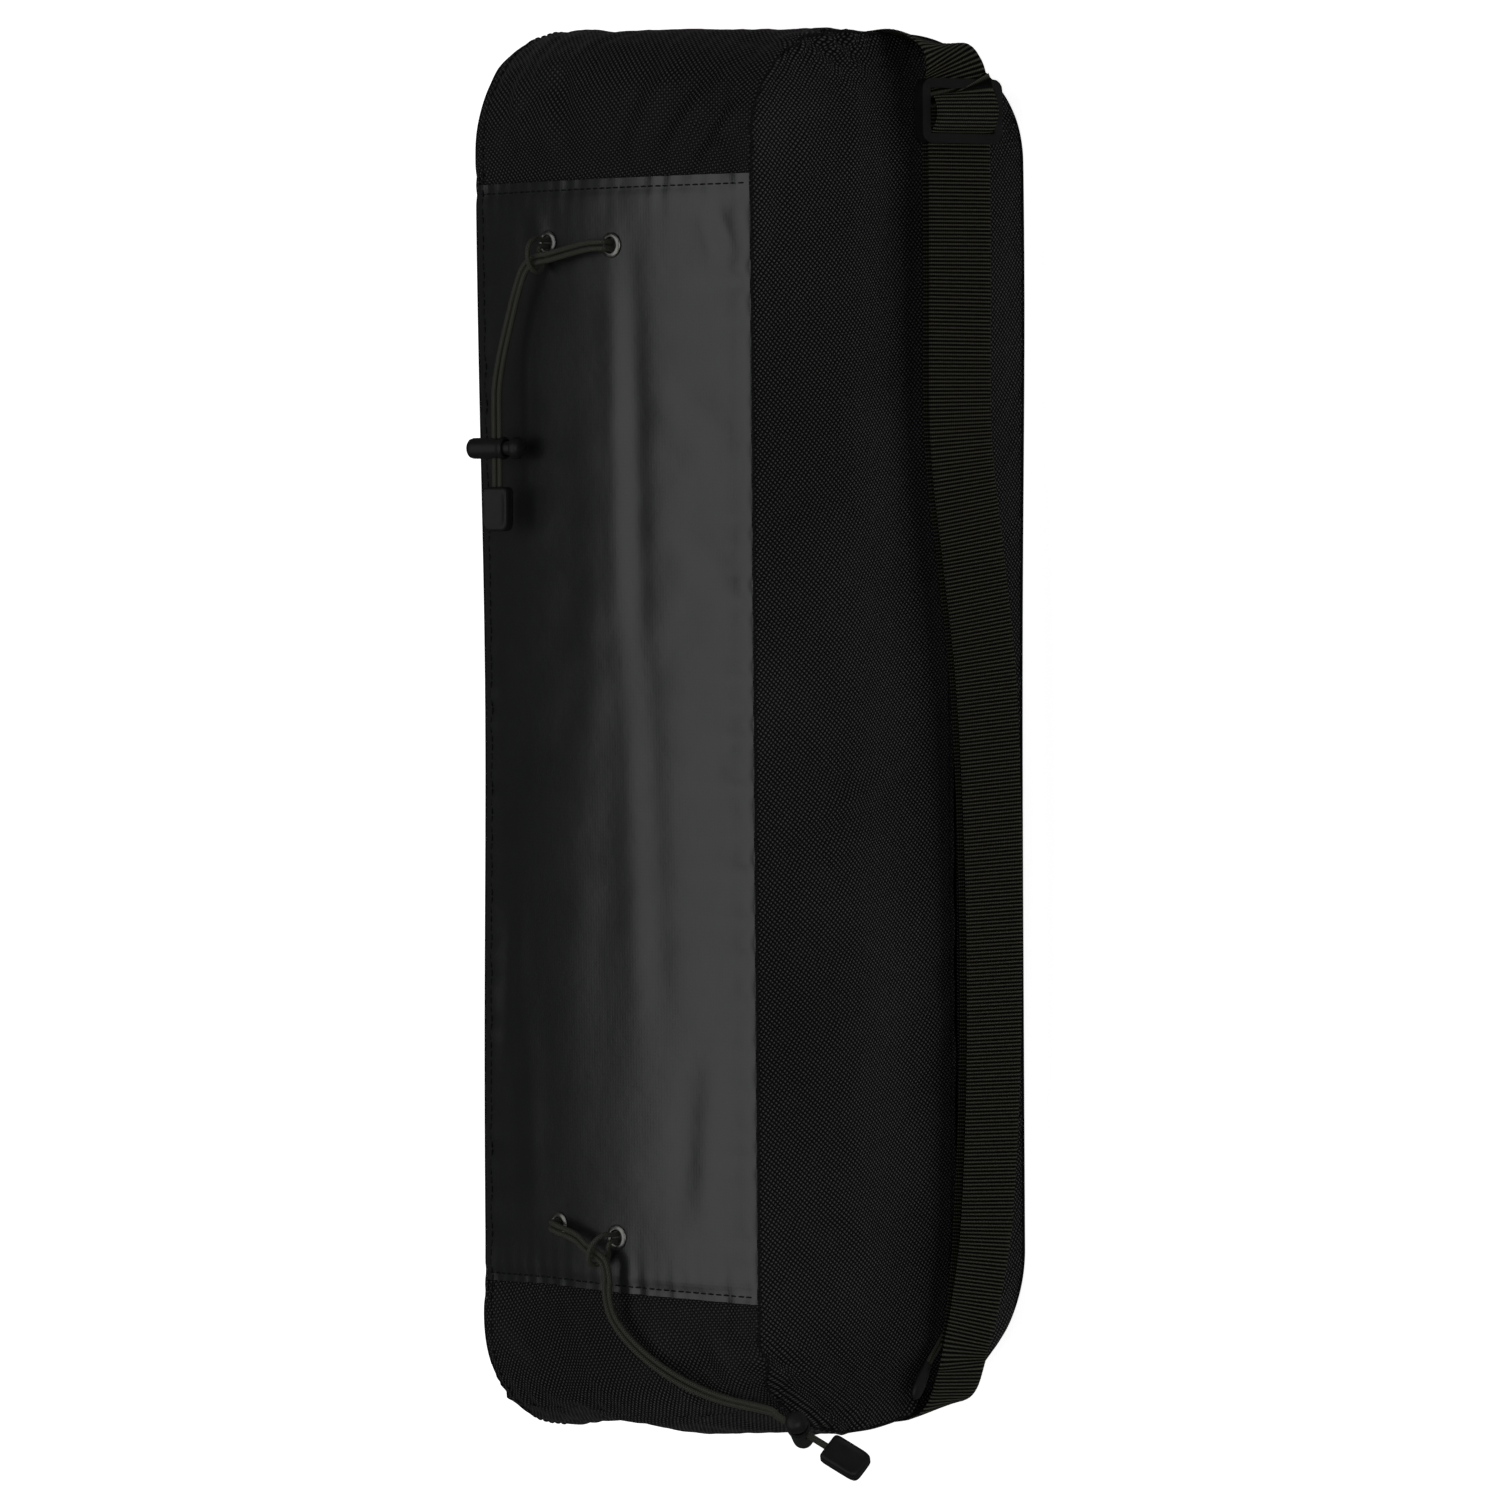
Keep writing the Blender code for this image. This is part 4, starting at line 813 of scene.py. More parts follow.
class Shell:
    """The finished surface of the sack: fine grids, normals and cloth coordinates of the strip and both sides."""

    def __init__(self):
        ring = outline_ring()
        gusset = gusset_grid(ring)
        flat = side_flat(ring)
        sides = [side_grid(flat, sign) for sign in (-1, 1)]
        for side in sides:
            for i in range(LONG + 1):
                for j in range(SHORT + 1):
                    k = ring_index(i, j)
                    if k is not None:
                        side[i, j] = gusset[k, 0 if side is sides[0] else ACROSS]
        points, faces, numbers = shell_mesh(gusset, sides)
        points = points + settled(points)
        points = points + seam_share(points) * (fill_shell(points, faces, numbers) - points)
        points = points + seam_wobble(points)
        self.rest = refine(gusset, FINER, wrap=True)
        self.flat = refine(flat, FINER)
        self.strip = refine(points[numbers[0]], FINER, wrap=True)
        self.near = refine(points[numbers[1]], FINER)
        self.far = refine(points[numbers[2]], FINER)
        line = self.rest[:, 0][:, (0, 2)]
        self.ring_x = line[:, 0]
        self.ring_z = line[:, 1]
        self.along = np.concatenate([[0], np.cumsum(np.linalg.norm(np.diff(line, axis=0), axis=1))])
        self.y = np.linspace(-HALF_WIDTH, HALF_WIDTH, self.strip.shape[1])
        self.gather()
        self.strip_normal = grid_normals(self.strip, wrap=True)
        self.near_normal = grid_normals(self.near)
        self.far_normal = -grid_normals(self.far)
        self.strip_uv = np.stack(np.meshgrid(self.along, self.y, indexing="ij"), axis=2)

    def front_row(self, x):
        """Row of the strip at a place along the front face."""
        last = LONG * FINER + 1
        return np.interp(x, self.ring_x[:last], np.arange(last))

    def column(self, y):
        return np.interp(y, self.y, np.arange(len(self.y)))

    def gather(self):
        """Puckers at the seams and soft folds, laid on the filled shell along its normals."""
        pucker = fabric().pucker
        s, y = np.meshgrid(self.along, self.y, indexing="ij")
        x = np.broadcast_to(self.rest[:, 0, 0][:, None], s.shape)
        z = np.broadcast_to(self.rest[:, 0, 2][:, None], s.shape)
        from_seam = HALF_WIDTH - np.abs(y)
        seam_wave = waves(4, 9 * MM, 19 * MM)
        at_seam = 1 - np.exp(-(from_seam / (2.5 * MM)) ** 2)
        move = pucker * np.exp(-from_seam / (11 * MM)) * seam_wave(s + np.sign(y) * 0.37) * at_seam
        on_front = smooth_step((z - 0.15) / 0.015)
        hem_wave = waves(9, 7 * MM, 15 * MM)
        for edge in (-COATED_HALF, COATED_HALF):
            from_hem = np.abs(x - edge)
            move += on_front * pucker * 0.5 * np.exp(-from_hem / (8 * MM)) * hem_wave(y + edge)
            move -= on_front * 0.5 * MM * np.exp(-((from_hem - 4 * MM) / (2.2 * MM)) ** 2)
        for start, end, width, height in FRONT_FOLDS:
            move += on_front * ridge(x, y, start, end, width, height)
        rough = waves(21, 30 * MM, 80 * MM)
        cross = waves(22, 30 * MM, 70 * MM)
        loose = smooth_step(from_seam / 0.03) * smooth_step(z / 0.02)
        move += 0.35 * MM * loose * (1 - 0.7 * on_front) * rough(s + 0.3 * y) * cross(y - 0.2 * s)
        ends = smooth_step((np.abs(x) - 0.25) / 0.03) * smooth_step((z - 0.02) / 0.05)
        gather = waves(31, 8 * MM, 18 * MM)
        move += 0.5 * MM * ends * gather(y + 0.15 * s) * np.exp(-from_seam / (30 * MM)) * at_seam
        move -= 0.8 * MM * (from_seam < 1 * MM)
        self.strip = self.strip + grid_normals(self.strip, wrap=True) * move[..., None]
        for grid, sign, folds in ((self.near, 1, SIDE_FOLDS), (self.far, -1, SIDE_FOLDS[2:6])):
            x, z = self.flat[..., 0], self.flat[..., 1]
            rows, columns = x.shape
            edge = np.minimum.outer(np.minimum(np.arange(rows), np.arange(rows)[::-1]), np.full(columns, 10 ** 6))
            edge = np.minimum(edge, np.minimum(np.arange(columns), np.arange(columns)[::-1])[None, :])
            from_seam = edge * 1.95 * MM
            hold = 1 - np.exp(-(from_seam / (2.5 * MM)) ** 2)
            angle = np.arctan2(z - 0.085, x * 0.3)
            wave = waves(5 + sign, 9 * MM, 20 * MM)
            move = pucker * np.exp(-from_seam / (12 * MM)) * wave(x + z + angle * 0.02) * hold
            for start, end, width, height in folds:
                move += hold * ridge(x, z, start, end, width, height)
            move += 0.4 * MM * smooth_step(from_seam / 0.03) * rough(x + 0.5 * z + sign) * cross(z + 0.3 * x)
            corner = smooth_step((np.abs(x) - 0.22) / 0.05)
            move += 0.6 * MM * corner * hold * np.exp(-from_seam / (25 * MM)) * gather(x + z * 1.3)
            move -= 0.8 * MM * (edge == 0)
            if sign > 0:
                between_ends = smooth_step((ZIP_HALF + 0.03 - np.abs(x)) / 0.05)
                move -= 1.2 * MM * between_ends * np.exp(-((z - ZIP_Z) / (13 * MM)) ** 2)
                move -= 2.4 * MM * between_ends * np.exp(-((z - 0.083) / (17 * MM)) ** 2)
            grid += sign * grid_normals(grid) * move[..., None]


built = {}      # the finished shell, for the eyelets that are pressed into it


class SACK_OT_body(bpy.types.Operator):
    """Builds the filled cloth body: front, ends, back and both sides, with rolled seams and stitching"""
    bl_idname = "sack.body"
    bl_label = "Cloth body"

    def execute(self, context):
        shell = Shell()
        built["shell"] = shell
        build_strip_panels(shell)
        build_side_panels(shell)
        build_seam_rolls(shell)
        build_body_stitches(shell)
        build_zip(shell)
        return {"FINISHED"}


def build_strip_panels(shell):
    wall = fabric().wall
    rows = shell.strip.shape[0] - 1
    columns = shell.strip.shape[1] - 1
    row_x = (shell.ring_x[1:] + shell.ring_x[:-1]) / 2
    row_z = (shell.ring_z[1:] + shell.ring_z[:-1]) / 2
    on_front = row_z > FRONT_SEAM - 1 * MM
    overlap = 12 * MM
    top_split = BACK_TOP[1]
    low_split = BACK_BOTTOM[1]
    coated = on_front & (np.abs(row_x) < COATED_HALF)
    above = smooth_step((shell.ring_z - FRONT_SEAM + 4 * MM) / (3 * MM))
    tucked = -1.1 * MM * above * (1 - smooth_step((np.abs(shell.ring_x) - COATED_HALF) / (7 * MM)))
    tucked = tucked[:, None, None]
    upper = ((row_z > top_split) & (row_x > COATED_HALF - overlap))
    lower = ((row_z > low_split) & (row_x < -COATED_HALF + overlap))
    back = ((row_z < top_split) & (row_x > 0)) | ((row_z < low_split) & (row_x <= 0))
    for name, chosen, thick, lift, finish, slot in (
            ("front_panel_upper_cloth", upper, wall, tucked, "oxford", "oxford_fabric"),
            ("front_panel_lower_cloth", lower, wall, tucked, "oxford", "oxford_fabric"),
            ("back_panel_cloth", back, wall, 0.0, "oxford", "oxford_fabric"),
            ("front_panel_coated_cloth", coated, wall, COATED_LIFT, "coated", "coated_fabric")):
        keep = np.repeat(chosen[:, None], columns, axis=1)
        piece = cloth_patch(name, shell.strip, shell.strip_normal, shell.strip_uv, keep[:rows], thick, lift, finish)
        settle(piece, "sack", name.replace("_cloth", ""), slot=slot)


def build_side_panels(shell):
    wall = fabric().wall
    x = (shell.flat[1:, 1:, 0] + shell.flat[:-1, :-1, 0]) / 2
    z = (shell.flat[1:, 1:, 1] + shell.flat[:-1, :-1, 1]) / 2
    whole = np.ones(x.shape, bool)
    slot_open = (np.abs(z - ZIP_Z) < SLOT_HALF) & (np.abs(x) < ZIP_HALF + 4 * MM)
    near = cloth_patch("side_panel_strap_cloth", shell.near, shell.near_normal, shell.flat, whole & ~slot_open,
                       wall, 0.0, "oxford")
    settle(near, "sack", "side_panel_strap_front", "side_panel_strap_rear", slot="oxford_fabric")
    far = cloth_patch("side_panel_plain_cloth", shell.far, shell.far_normal, shell.flat, whole, wall, 0.0, "oxford")
    settle(far, "sack", "side_panel_plain", slot="oxford_fabric")


def build_seam_rolls(shell):
    """The turned edge that shows along each side seam, closed round the sack."""
    for side, column in (("strap_side", 0), ("plain_side", -1)):
        name = "seam_roll_" + side
        path = shell.strip[:-1, column].copy()
        inward = shell.strip_normal[:-1, column] * 0.1 * MM
        path += inward
        piece = tube(name, path, 0.6 * MM, "tape", sides=8, closed=True)
        settle(piece, "sack", "seam_binding_" + side, slot="binding_tape")


def strip_line(shell, rows, columns, lift):
    place = sample(shell.strip, rows, columns)
    normal = sample(shell.strip_normal, rows, columns)
    return place + normal * lift, normal


def build_body_stitches(shell):
    pitch = fabric().stitch_pitch
    across = np.linspace(-HALF_WIDTH + 3 * MM, HALF_WIDTH - 3 * MM, 160)
    hems = []
    for x in (HEM_INSET - COATED_HALF, COATED_HALF - HEM_INSET):
        row = np.full(len(across), float(shell.front_row(x)))
        hems.append(strip_line(shell, row, shell.column(across), COATED_LIFT))
    stitch_row("hem_stitches", hems, pitch, "sack")
    edge_rows = np.arange(0, shell.strip.shape[0] - 1, 1.0)
    column = np.full(len(edge_rows), float(shell.column(HALF_WIDTH - EDGE_INSET)))
    on_coated = (np.abs(shell.ring_x[:-1]) < COATED_HALF) & (shell.ring_z[:-1] > FRONT_SEAM - 1 * MM)
    lift = np.where(on_coated, COATED_LIFT, COATED_LIFT / 2)[:, None]
    stitch_row("edge_stitches", [strip_line(shell, edge_rows, column, lift)], pitch, "sack")


# ---------------------------------------------------------------- zip

def build_zip(shell):
    """Coils made of single nylon loops, on the frame's tapes, with their stitching through the cloth's edge."""
    radius = (COIL_HIGH[1] - COIL_LOW[1]) / 2 * 0.92
    middle_y = (COIL_HIGH[1] + COIL_LOW[1]) / 2
    pitch = 1.5 * MM
    for name, sign in (("front", 1), ("rear", -1)):
        low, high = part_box("zip_coil_" + name)
        inner = ZIP_Z + sign * 0.4 * MM
        outer = float(high[2] if sign > 0 else low[2])
        count = int((high[0] - low[0]) / pitch)
        path = []
        for k in range(count * 8):
            t = k / 8
            a = math.tau * t
            wide = (outer - inner) / 2
            path.append((low[0] + 1 * MM + t * pitch * 0.995, middle_y + radius * 0.75 * math.sin(a),
                         (outer + inner) / 2 + wide * math.cos(a) * 0.86))
        piece = tube("zip_coil_loops_" + name, path, 0.33 * MM, "coil", sides=5)
        settle(piece, "sack", "zip_coil_" + name, slot="zip_coil")
    x = np.linspace(-ZIP_HALF - 2 * MM, ZIP_HALF + 2 * MM, 300)
    lines = []
    rows = np.interp(x, shell.flat[:, shell.flat.shape[1] // 4, 0], np.arange(shell.flat.shape[0]))
    for z in (ZIP_Z - ZIP_STITCHES, ZIP_Z + ZIP_STITCHES):
        mid_row = shell.flat.shape[0] // 2
        column = float(np.interp(z, shell.flat[mid_row, :, 1], np.arange(shell.flat.shape[1])))
        columns = np.full(len(x), column)
        place = sample(shell.near, rows, columns)
        normal = sample(shell.near_normal, rows, columns)
        lines.append((place + normal * 0.05 * MM, normal))
    stitch_row("zip_stitches", lines, fabric().stitch_pitch * 0.8, "sack")


class SACK_OT_hardware(bpy.types.Operator):
    """Finishes the pieces that keep the frame's own shape: slide, slider, stops, washers, springs and tapes"""
    bl_idname = "sack.hardware"
    bl_label = "Frame pieces"

    def execute(self, context):
        finishes = {
            "strap_tri_glide": ("plastic", 0.55), "zip_slider": ("brass", 0.35), "zip_top_stop": ("brass", 0.3),
            "zip_bottom_stop": ("brass", 0.3), "upper_lock_spring": ("spring", 0), "lower_lock_spring": ("spring", 0),
            "zip_tape_front": ("tape", 0), "zip_tape_rear": ("tape", 0),
        }
        for place in ("upper_right", "upper_left", "lower_left", "lower_right"):
            finishes["eyelet_washer_" + place] = ("brass", 0.15)
        for node, (finish, round_mm) in finishes.items():
            piece = frame["nodes"][node]
            piece.data.materials.clear()
            piece.data.materials.append(finish_of(finish))
            piece.data.shade_smooth()
            if round_mm:
                edge = piece.modifiers.new("rounded edges", "BEVEL")
                edge.width = round_mm * MM
                edge.segments = 3
                edge.limit_method = "ANGLE"
                edge.angle_limit = math.radians(40)
                edge.harden_normals = True
        return {"FINISHED"}


# ---------------------------------------------------------------- eyelets, cords and their fittings

UPPER_EYELETS = {"upper_right": (0.2063, -0.0080), "upper_left": (0.2082, 0.0300)}
LOWER_EYELETS = {"lower_left": (-0.2070, 0.0285), "lower_right": (-0.2098, -0.0065)}

# Middle lines of the doubled cords, as the frame lays them
UPPER_ROUTE = [(0.2063, -0.0079, 0.1730), (0.2063, -0.0080, 0.1797), (0.2063, -0.0070, 0.1826),
               (0.2060, -0.0010, 0.1845), (0.2045, 0.0100, 0.1838), (0.2022, 0.0220, 0.1842),
               (0.2010, 0.0298, 0.1848), (0.1975, 0.0360, 0.1848), (0.1890, 0.0415, 0.1838),
               (0.1760, 0.0470, 0.1830), (0.1620, 0.0512, 0.1834), (0.1500, 0.0529, 0.1846),
               (0.1420, 0.0530, 0.1852), (0.1220, 0.0530, 0.1852), (0.1060, 0.0530, 0.1852)]
UPPER_LOCK = Vector((0.1220, 0.0530, 0.1852))
UPPER_RUN = Vector((-1, 0, 0))
UPPER_LOCK_AXIS = Vector((0, 0.978, 0.208))
UPPER_BIGHT = [(0.2096, 0.0300, 0.1730), (0.2096, 0.0301, 0.1812), (0.2100, 0.0303, 0.1842),
               (0.2078, 0.0305, 0.1874), (0.2035, 0.0305, 0.1888), (0.1985, 0.0303, 0.1876),
               (0.1962, 0.0300, 0.1845), (0.1972, 0.0298, 0.1812), (0.2005, 0.0298, 0.1800),
               (0.2045, 0.0300, 0.1822), (0.2067, 0.0300, 0.1817), (0.2068, 0.0300, 0.1790),
               (0.2068, 0.0300, 0.1730)]
LOWER_RUN = Vector((-0.46, -0.84, -0.29)).normalized()
LOWER_LOCK = Vector((-0.2850, -0.0925, 0.1590))
LOWER_LOCK_AXIS = Vector((-0.455, 0.477, -0.755))
LOWER_ROUTE = [(-0.2070, 0.0281, 0.1720), (-0.2070, 0.0287, 0.1795), (-0.2071, 0.0278, 0.1820),
               (-0.2080, 0.0220, 0.1840), (-0.2105, 0.0125, 0.1838), (-0.2140, 0.0055, 0.1846),
               (-0.2164, -0.0002, 0.1850), (-0.2195, -0.0052, 0.1850), (-0.2255, -0.0066, 0.1842),
               (-0.2340, -0.0055, 0.1830), (-0.2430, -0.0072, 0.1816), (-0.2515, -0.0140, 0.1800),
               (-0.2600, -0.0250, 0.1778), (-0.2680, -0.0400, 0.1745), (-0.2740, -0.0570, 0.1695)]
LOWER_END_WIDTH = Vector((0.694, -0.135, -0.708))
LOWER_LAST = (-0.016, -0.010, 0.0, 0.0135)
LOWER_BIGHT = [(-0.2084, -0.0065, 0.1730), (-0.2084, -0.0065, 0.1815), (-0.2080, -0.0058, 0.1845),
               (-0.2100, -0.0040, 0.1877), (-0.2140, -0.0015, 0.1891), (-0.2188, 0.0005, 0.1879),
               (-0.2212, 0.0005, 0.1848), (-0.2205, -0.0010, 0.1815), (-0.2175, -0.0035, 0.1803),
               (-0.2137, -0.0058, 0.1825), (-0.2114, -0.0064, 0.1819), (-0.2112, -0.0065, 0.1790),
               (-0.2112, -0.0065, 0.1730)]
CORD_PITCH = 2.7 * MM


def smooth_route(route, step):
    """Points at even steps along a Catmull-Rom curve through the route's points."""
    pts = np.array([tuple(p) for p in route])
    pts = np.concatenate([2 * pts[:1] - pts[1:2], pts, 2 * pts[-1:] - pts[-2:-1]])
    fine = []
    for a, b, c, d in zip(pts, pts[1:], pts[2:], pts[3:]):
        for k in range(24):
            t = k / 24
            fine.append(0.5 * (2 * b + (c - a) * t + (2 * a - 5 * b + 4 * c - d) * t ** 2
                               + (3 * b - a - 3 * c + d) * t ** 3))
    fine.append(pts[-2])
    fine = np.array(fine)
    lengths = np.concatenate([[0], np.cumsum(np.linalg.norm(np.diff(fine, axis=0), axis=1))])
    at = np.linspace(0, lengths[-1], int(lengths[-1] / step) + 1)
    return np.stack([np.interp(at, lengths, fine[:, k]) for k in range(3)], axis=1)


def square_to(run, axis):
    return (axis - run * axis.dot(run)).normalized()


def side_by_side(route, axis, turn_from, distance):
    """A route beside another: sideways and level at first, and along axis from the turn_from-th point on."""
    points = [Vector(p) for p in route]
    out = []
    for i, p in enumerate(points):
        before = points[max(2, i - 1)]
        after = points[min(len(points) - 1, max(4, i + 1))]
        level = Vector((0, 0, 1)).cross(after - before).normalized()
        final = axis if axis.dot(level) > 0 else -axis
        turn = min(1.0, max(0.0, (i - turn_from) / 3))
        out.append(p + level.lerp(final, turn).normalized() * distance)
    return out


def placement(origin, z_axis, x_hint):
    z = Vector(z_axis).normalized()
    x = Vector(x_hint)
    x = (x - z * x.dot(z)).normalized()
    matrix = Matrix((x, z.cross(x), z)).transposed().to_4x4()
    matrix.translation = Vector(origin)
    return matrix


def lathe(name, profile, place, finish, segments=48, squeeze=1.0, sharp=38):
    """A solid turned about its placement's Z from (radius, height) points in millimetres, closed on itself."""
    points, faces, starts = [], [], []
    for radius, height in profile:
        starts.append((len(points), 1 if radius == 0 else segments))
        for k in range(starts[-1][1]):
            a = math.tau * k / segments
            local = Vector((radius * math.cos(a), radius * math.sin(a) * squeeze, height)) * MM
            points.append(place @ local)
    count = len(profile)
    for k in range(count):
        (a, na), (b, nb) = starts[k], starts[(k + 1) % count]
        if na == 1 and nb == 1:
            continue
        for s in range(segments):
            n = (s + 1) % segments
            quad = [a + s % na, a + n % na, b + n % nb, b + s % nb]
            faces.append(tuple(dict.fromkeys(quad)))
    return mesh_piece(name, points, faces, finish, sharp=sharp)


def carve(piece, cutters):
    """Cuts shapes out of a piece for good."""
    for cutter in cutters:
        modifier = piece.modifiers.new("cut", "BOOLEAN")
        modifier.operation = "DIFFERENCE"
        modifier.object = cutter
    evaluated = piece.evaluated_get(bpy.context.evaluated_depsgraph_get())
    data = bpy.data.meshes.new_from_object(evaluated)
    piece.modifiers.clear()
    piece.data = data
    data.shade_smooth()
    data.set_sharp_from_angle(angle=math.radians(38))
    for cutter in cutters:
        bpy.data.objects.remove(cutter, do_unlink=True)
    return piece


def rounded_bar(name, place, half_a, half_b, low, high, finish="plastic", corners=8):
    """A bar along the placement's X with an oval section, used to cut cord holes."""
    points, faces = [], []
    straight = max(half_b - half_a, 0)
    outline = []
    for k in range(corners * 2):
        a = math.pi * (k + 0.5) / corners
        offset = straight if math.sin(a) > 0 else -straight
        outline.append((half_a * math.cos(a), half_a * math.sin(a) + offset))
    for x in (low, high):
        for y, z in outline:
            points.append(place @ (Vector((x, y, z)) * MM))
    count = len(outline)
    faces.append(tuple(reversed(range(count))))
    faces.append(tuple(range(count, 2 * count)))
    for k in range(count):
        n = (k + 1) % count
        faces.append((k, n, count + n, count + k))
    return mesh_piece(name, points, faces, finish)


class SACK_OT_eyelets(bpy.types.Operator):
    """Builds the four pressed eyelets in the coated panel"""
    bl_idname = "sack.eyelets"
    bl_label = "Eyelets"

    def execute(self, context):
        profile = [(2.9, -3.5), (2.9, 0.55), (3.05, 0.85), (3.4, 1.08), (3.9, 1.1), (4.5, 0.95), (5.05, 0.68),
                   (5.35, 0.42), (5.2, 0.3), (3.5, 0.3), (3.4, 0.2), (3.4, -3.5)]
        shell = built["shell"]
        for name, (x, y) in {**UPPER_EYELETS, **LOWER_EYELETS}.items():
            at = np.array([float(shell.front_row(x))]), np.array([float(shell.column(y))])
            point = sample(shell.strip, *at)[0]
            normal = sample(shell.strip_normal, *at)[0]
            slope = 2 * fabric().front_crown * y / HALF_WIDTH ** 2
            place = placement((x, y, point[2] + 0.05 * MM), normal + np.array((0, slope, 1)) * 2, (1, 0, 0))
            ring = lathe("eyelet_ring_" + name, profile, place, "brass")
            settle(ring, "sack", "eyelet_" + name, slot="black_metal")
        return {"FINISHED"}


def build_lock(prefix, centre, run, axis):
    """A spring toggle: barrel with a flared mouth, plunger with a domed head, both bored for the doubled cord."""
    axis = square_to(run, axis)
    place = placement(centre - axis * 1.2 * MM, axis, run)
    profile = [(3.6, -3.0), (3.75, -3.25), (4.2, -3.3), (4.65, -3.0), (4.85, -2.4), (4.8, -1.7), (4.55, -1.1),
               (4.45, 0.0), (4.45, 11.6), (4.4, 12.9), (4.05, 14.1), (3.4, 14.7), (2.4, 15.0), (0, 15.0),
               (0, 13.2), (3.6, 13.2)]
    barrel = lathe(prefix + "_lock_barrel_moulded", profile, place, "plastic")
    hole = rounded_bar(prefix + "_barrel_hole", place @ Matrix.Translation((0, 0, 1.2 * MM)), 1.6, 2.95, -9, 9)
    carve(barrel, [hole])
    settle(barrel, prefix + "_lock", prefix + "_lock_barrel", slot="moulded_plastic")
    profile = [(0, -12.1), (1.6, -12.05), (2.9, -11.7), (3.9, -11.0), (4.5, -10.0), (4.7, -8.9), (4.6, -7.6),
               (4.3, -7.0), (3.7, -6.75), (3.2, -6.6), (3.2, 6.2), (0, 6.2)]
    button = lathe(prefix + "_lock_button_moulded", profile, place, "plastic")
    shifted = place @ Matrix.Translation((0, 0, (1.2 - 1.65) * MM))
    hole = rounded_bar(prefix + "_button_hole", shifted, 1.6, 2.95 + 1.65, -9, 9)
    carve(button, [hole])
    settle(button, prefix + "_button", prefix + "_lock_button", slot="moulded_plastic")
    return barrel, button


def build_cord_end(prefix, start, run, across):
    """A moulded end in two shells: rounded tab with a raised rim and a parting line round it."""
    place = placement(start, run, across)
    out = []
    for shell, sign in (("cover", 1), ("base", -1)):
        points, faces = [], []
        outline = []
        for k in range(40):
            a = math.tau * k / 40
            c, s = math.cos(a), math.sin(a)
            power = 0.36 if s > 0 else 0.22
            outline.append((6.35 * math.copysign(abs(c) ** power, c), 9.4 + 9.4 * math.copysign(abs(s) ** power, s)))
        levels = ((0.16, 0.985), (0.5, 1.0), (1.7, 1.0), (2.4, 0.975), (2.9, 0.90), (3.05, 0.80), (2.85, 0.74),
                  (2.8, 0.45))
        for height, scale in levels:
            for x, z in outline:
                points.append(place @ (Vector((x * scale, sign * height, 9.4 + (z - 9.4) * scale)) * MM))
        count = len(outline)
        for level in range(len(levels) - 1):
            for k in range(count):
                n = (k + 1) % count
                i = level * count
                quad = (i + k, i + n, i + count + n, i + count + k)
                faces.append(quad if sign < 0 else quad[::-1])
        base = tuple(range(count))
        top = tuple((len(levels) - 1) * count + k for k in range(count))
        faces.append(base if sign > 0 else base[::-1])
        faces.append(top[::-1] if sign > 0 else top)
        piece = mesh_piece(f"{prefix}_cord_end_{shell}_moulded", points, faces, "plastic", sharp=40)
        out.append(settle(piece, "sack", f"{prefix}_cord_end_{shell}", slot="moulded_plastic"))
    return out


class SACK_OT_drawcords(bpy.types.Operator):
    """Builds the two doubled elastic drawcords with their hold-down loops, spring locks and moulded ends"""
    bl_idname = "sack.drawcords"
    bl_label = "Drawcords"

    def execute(self, context):
        width = trim().cord
        lower_route = LOWER_ROUTE + [tuple(LOWER_LOCK + LOWER_RUN * d) for d in LOWER_LAST]
        sets = (("upper", UPPER_ROUTE, UPPER_RUN, UPPER_LOCK, UPPER_LOCK_AXIS, None, 8, UPPER_BIGHT),
                ("lower", lower_route, LOWER_RUN, LOWER_LOCK, LOWER_LOCK_AXIS, LOWER_END_WIDTH, 13, LOWER_BIGHT))
        for prefix, route, run, centre, axis, across, turn_from, bight in sets:
            square = square_to(run, axis)
            lock = build_lock(prefix, centre, run, axis)
            ends = build_cord_end(prefix, Vector(route[-1]) + run * 0.4 * MM, run, across or square)
            for strand, side in (("a", 0.5), ("b", -0.5)):
                path = smooth_route(side_by_side(route, square, turn_from, CORD_PITCH * side), 0.7 * MM)
                inside = path[-1] + np.array(run) * 3.0 * MM
                path = np.concatenate([path, np.linspace(path[-1], inside, 6)[1:]])
                piece = tube(f"{prefix}_cord_braid_{strand}", path, width / 2, "cord")
                settle(piece, "sack", f"{prefix}_cord_strand_{strand}", slot="elastic_cord")
            path = smooth_route(bight, 0.6 * MM)
            loop = tube(prefix + "_cord_braid_loop", path, width * 0.45, "cord")
            settle(loop, "sack", prefix + "_cord_bight", slot="elastic_cord")
        return {"FINISHED"}


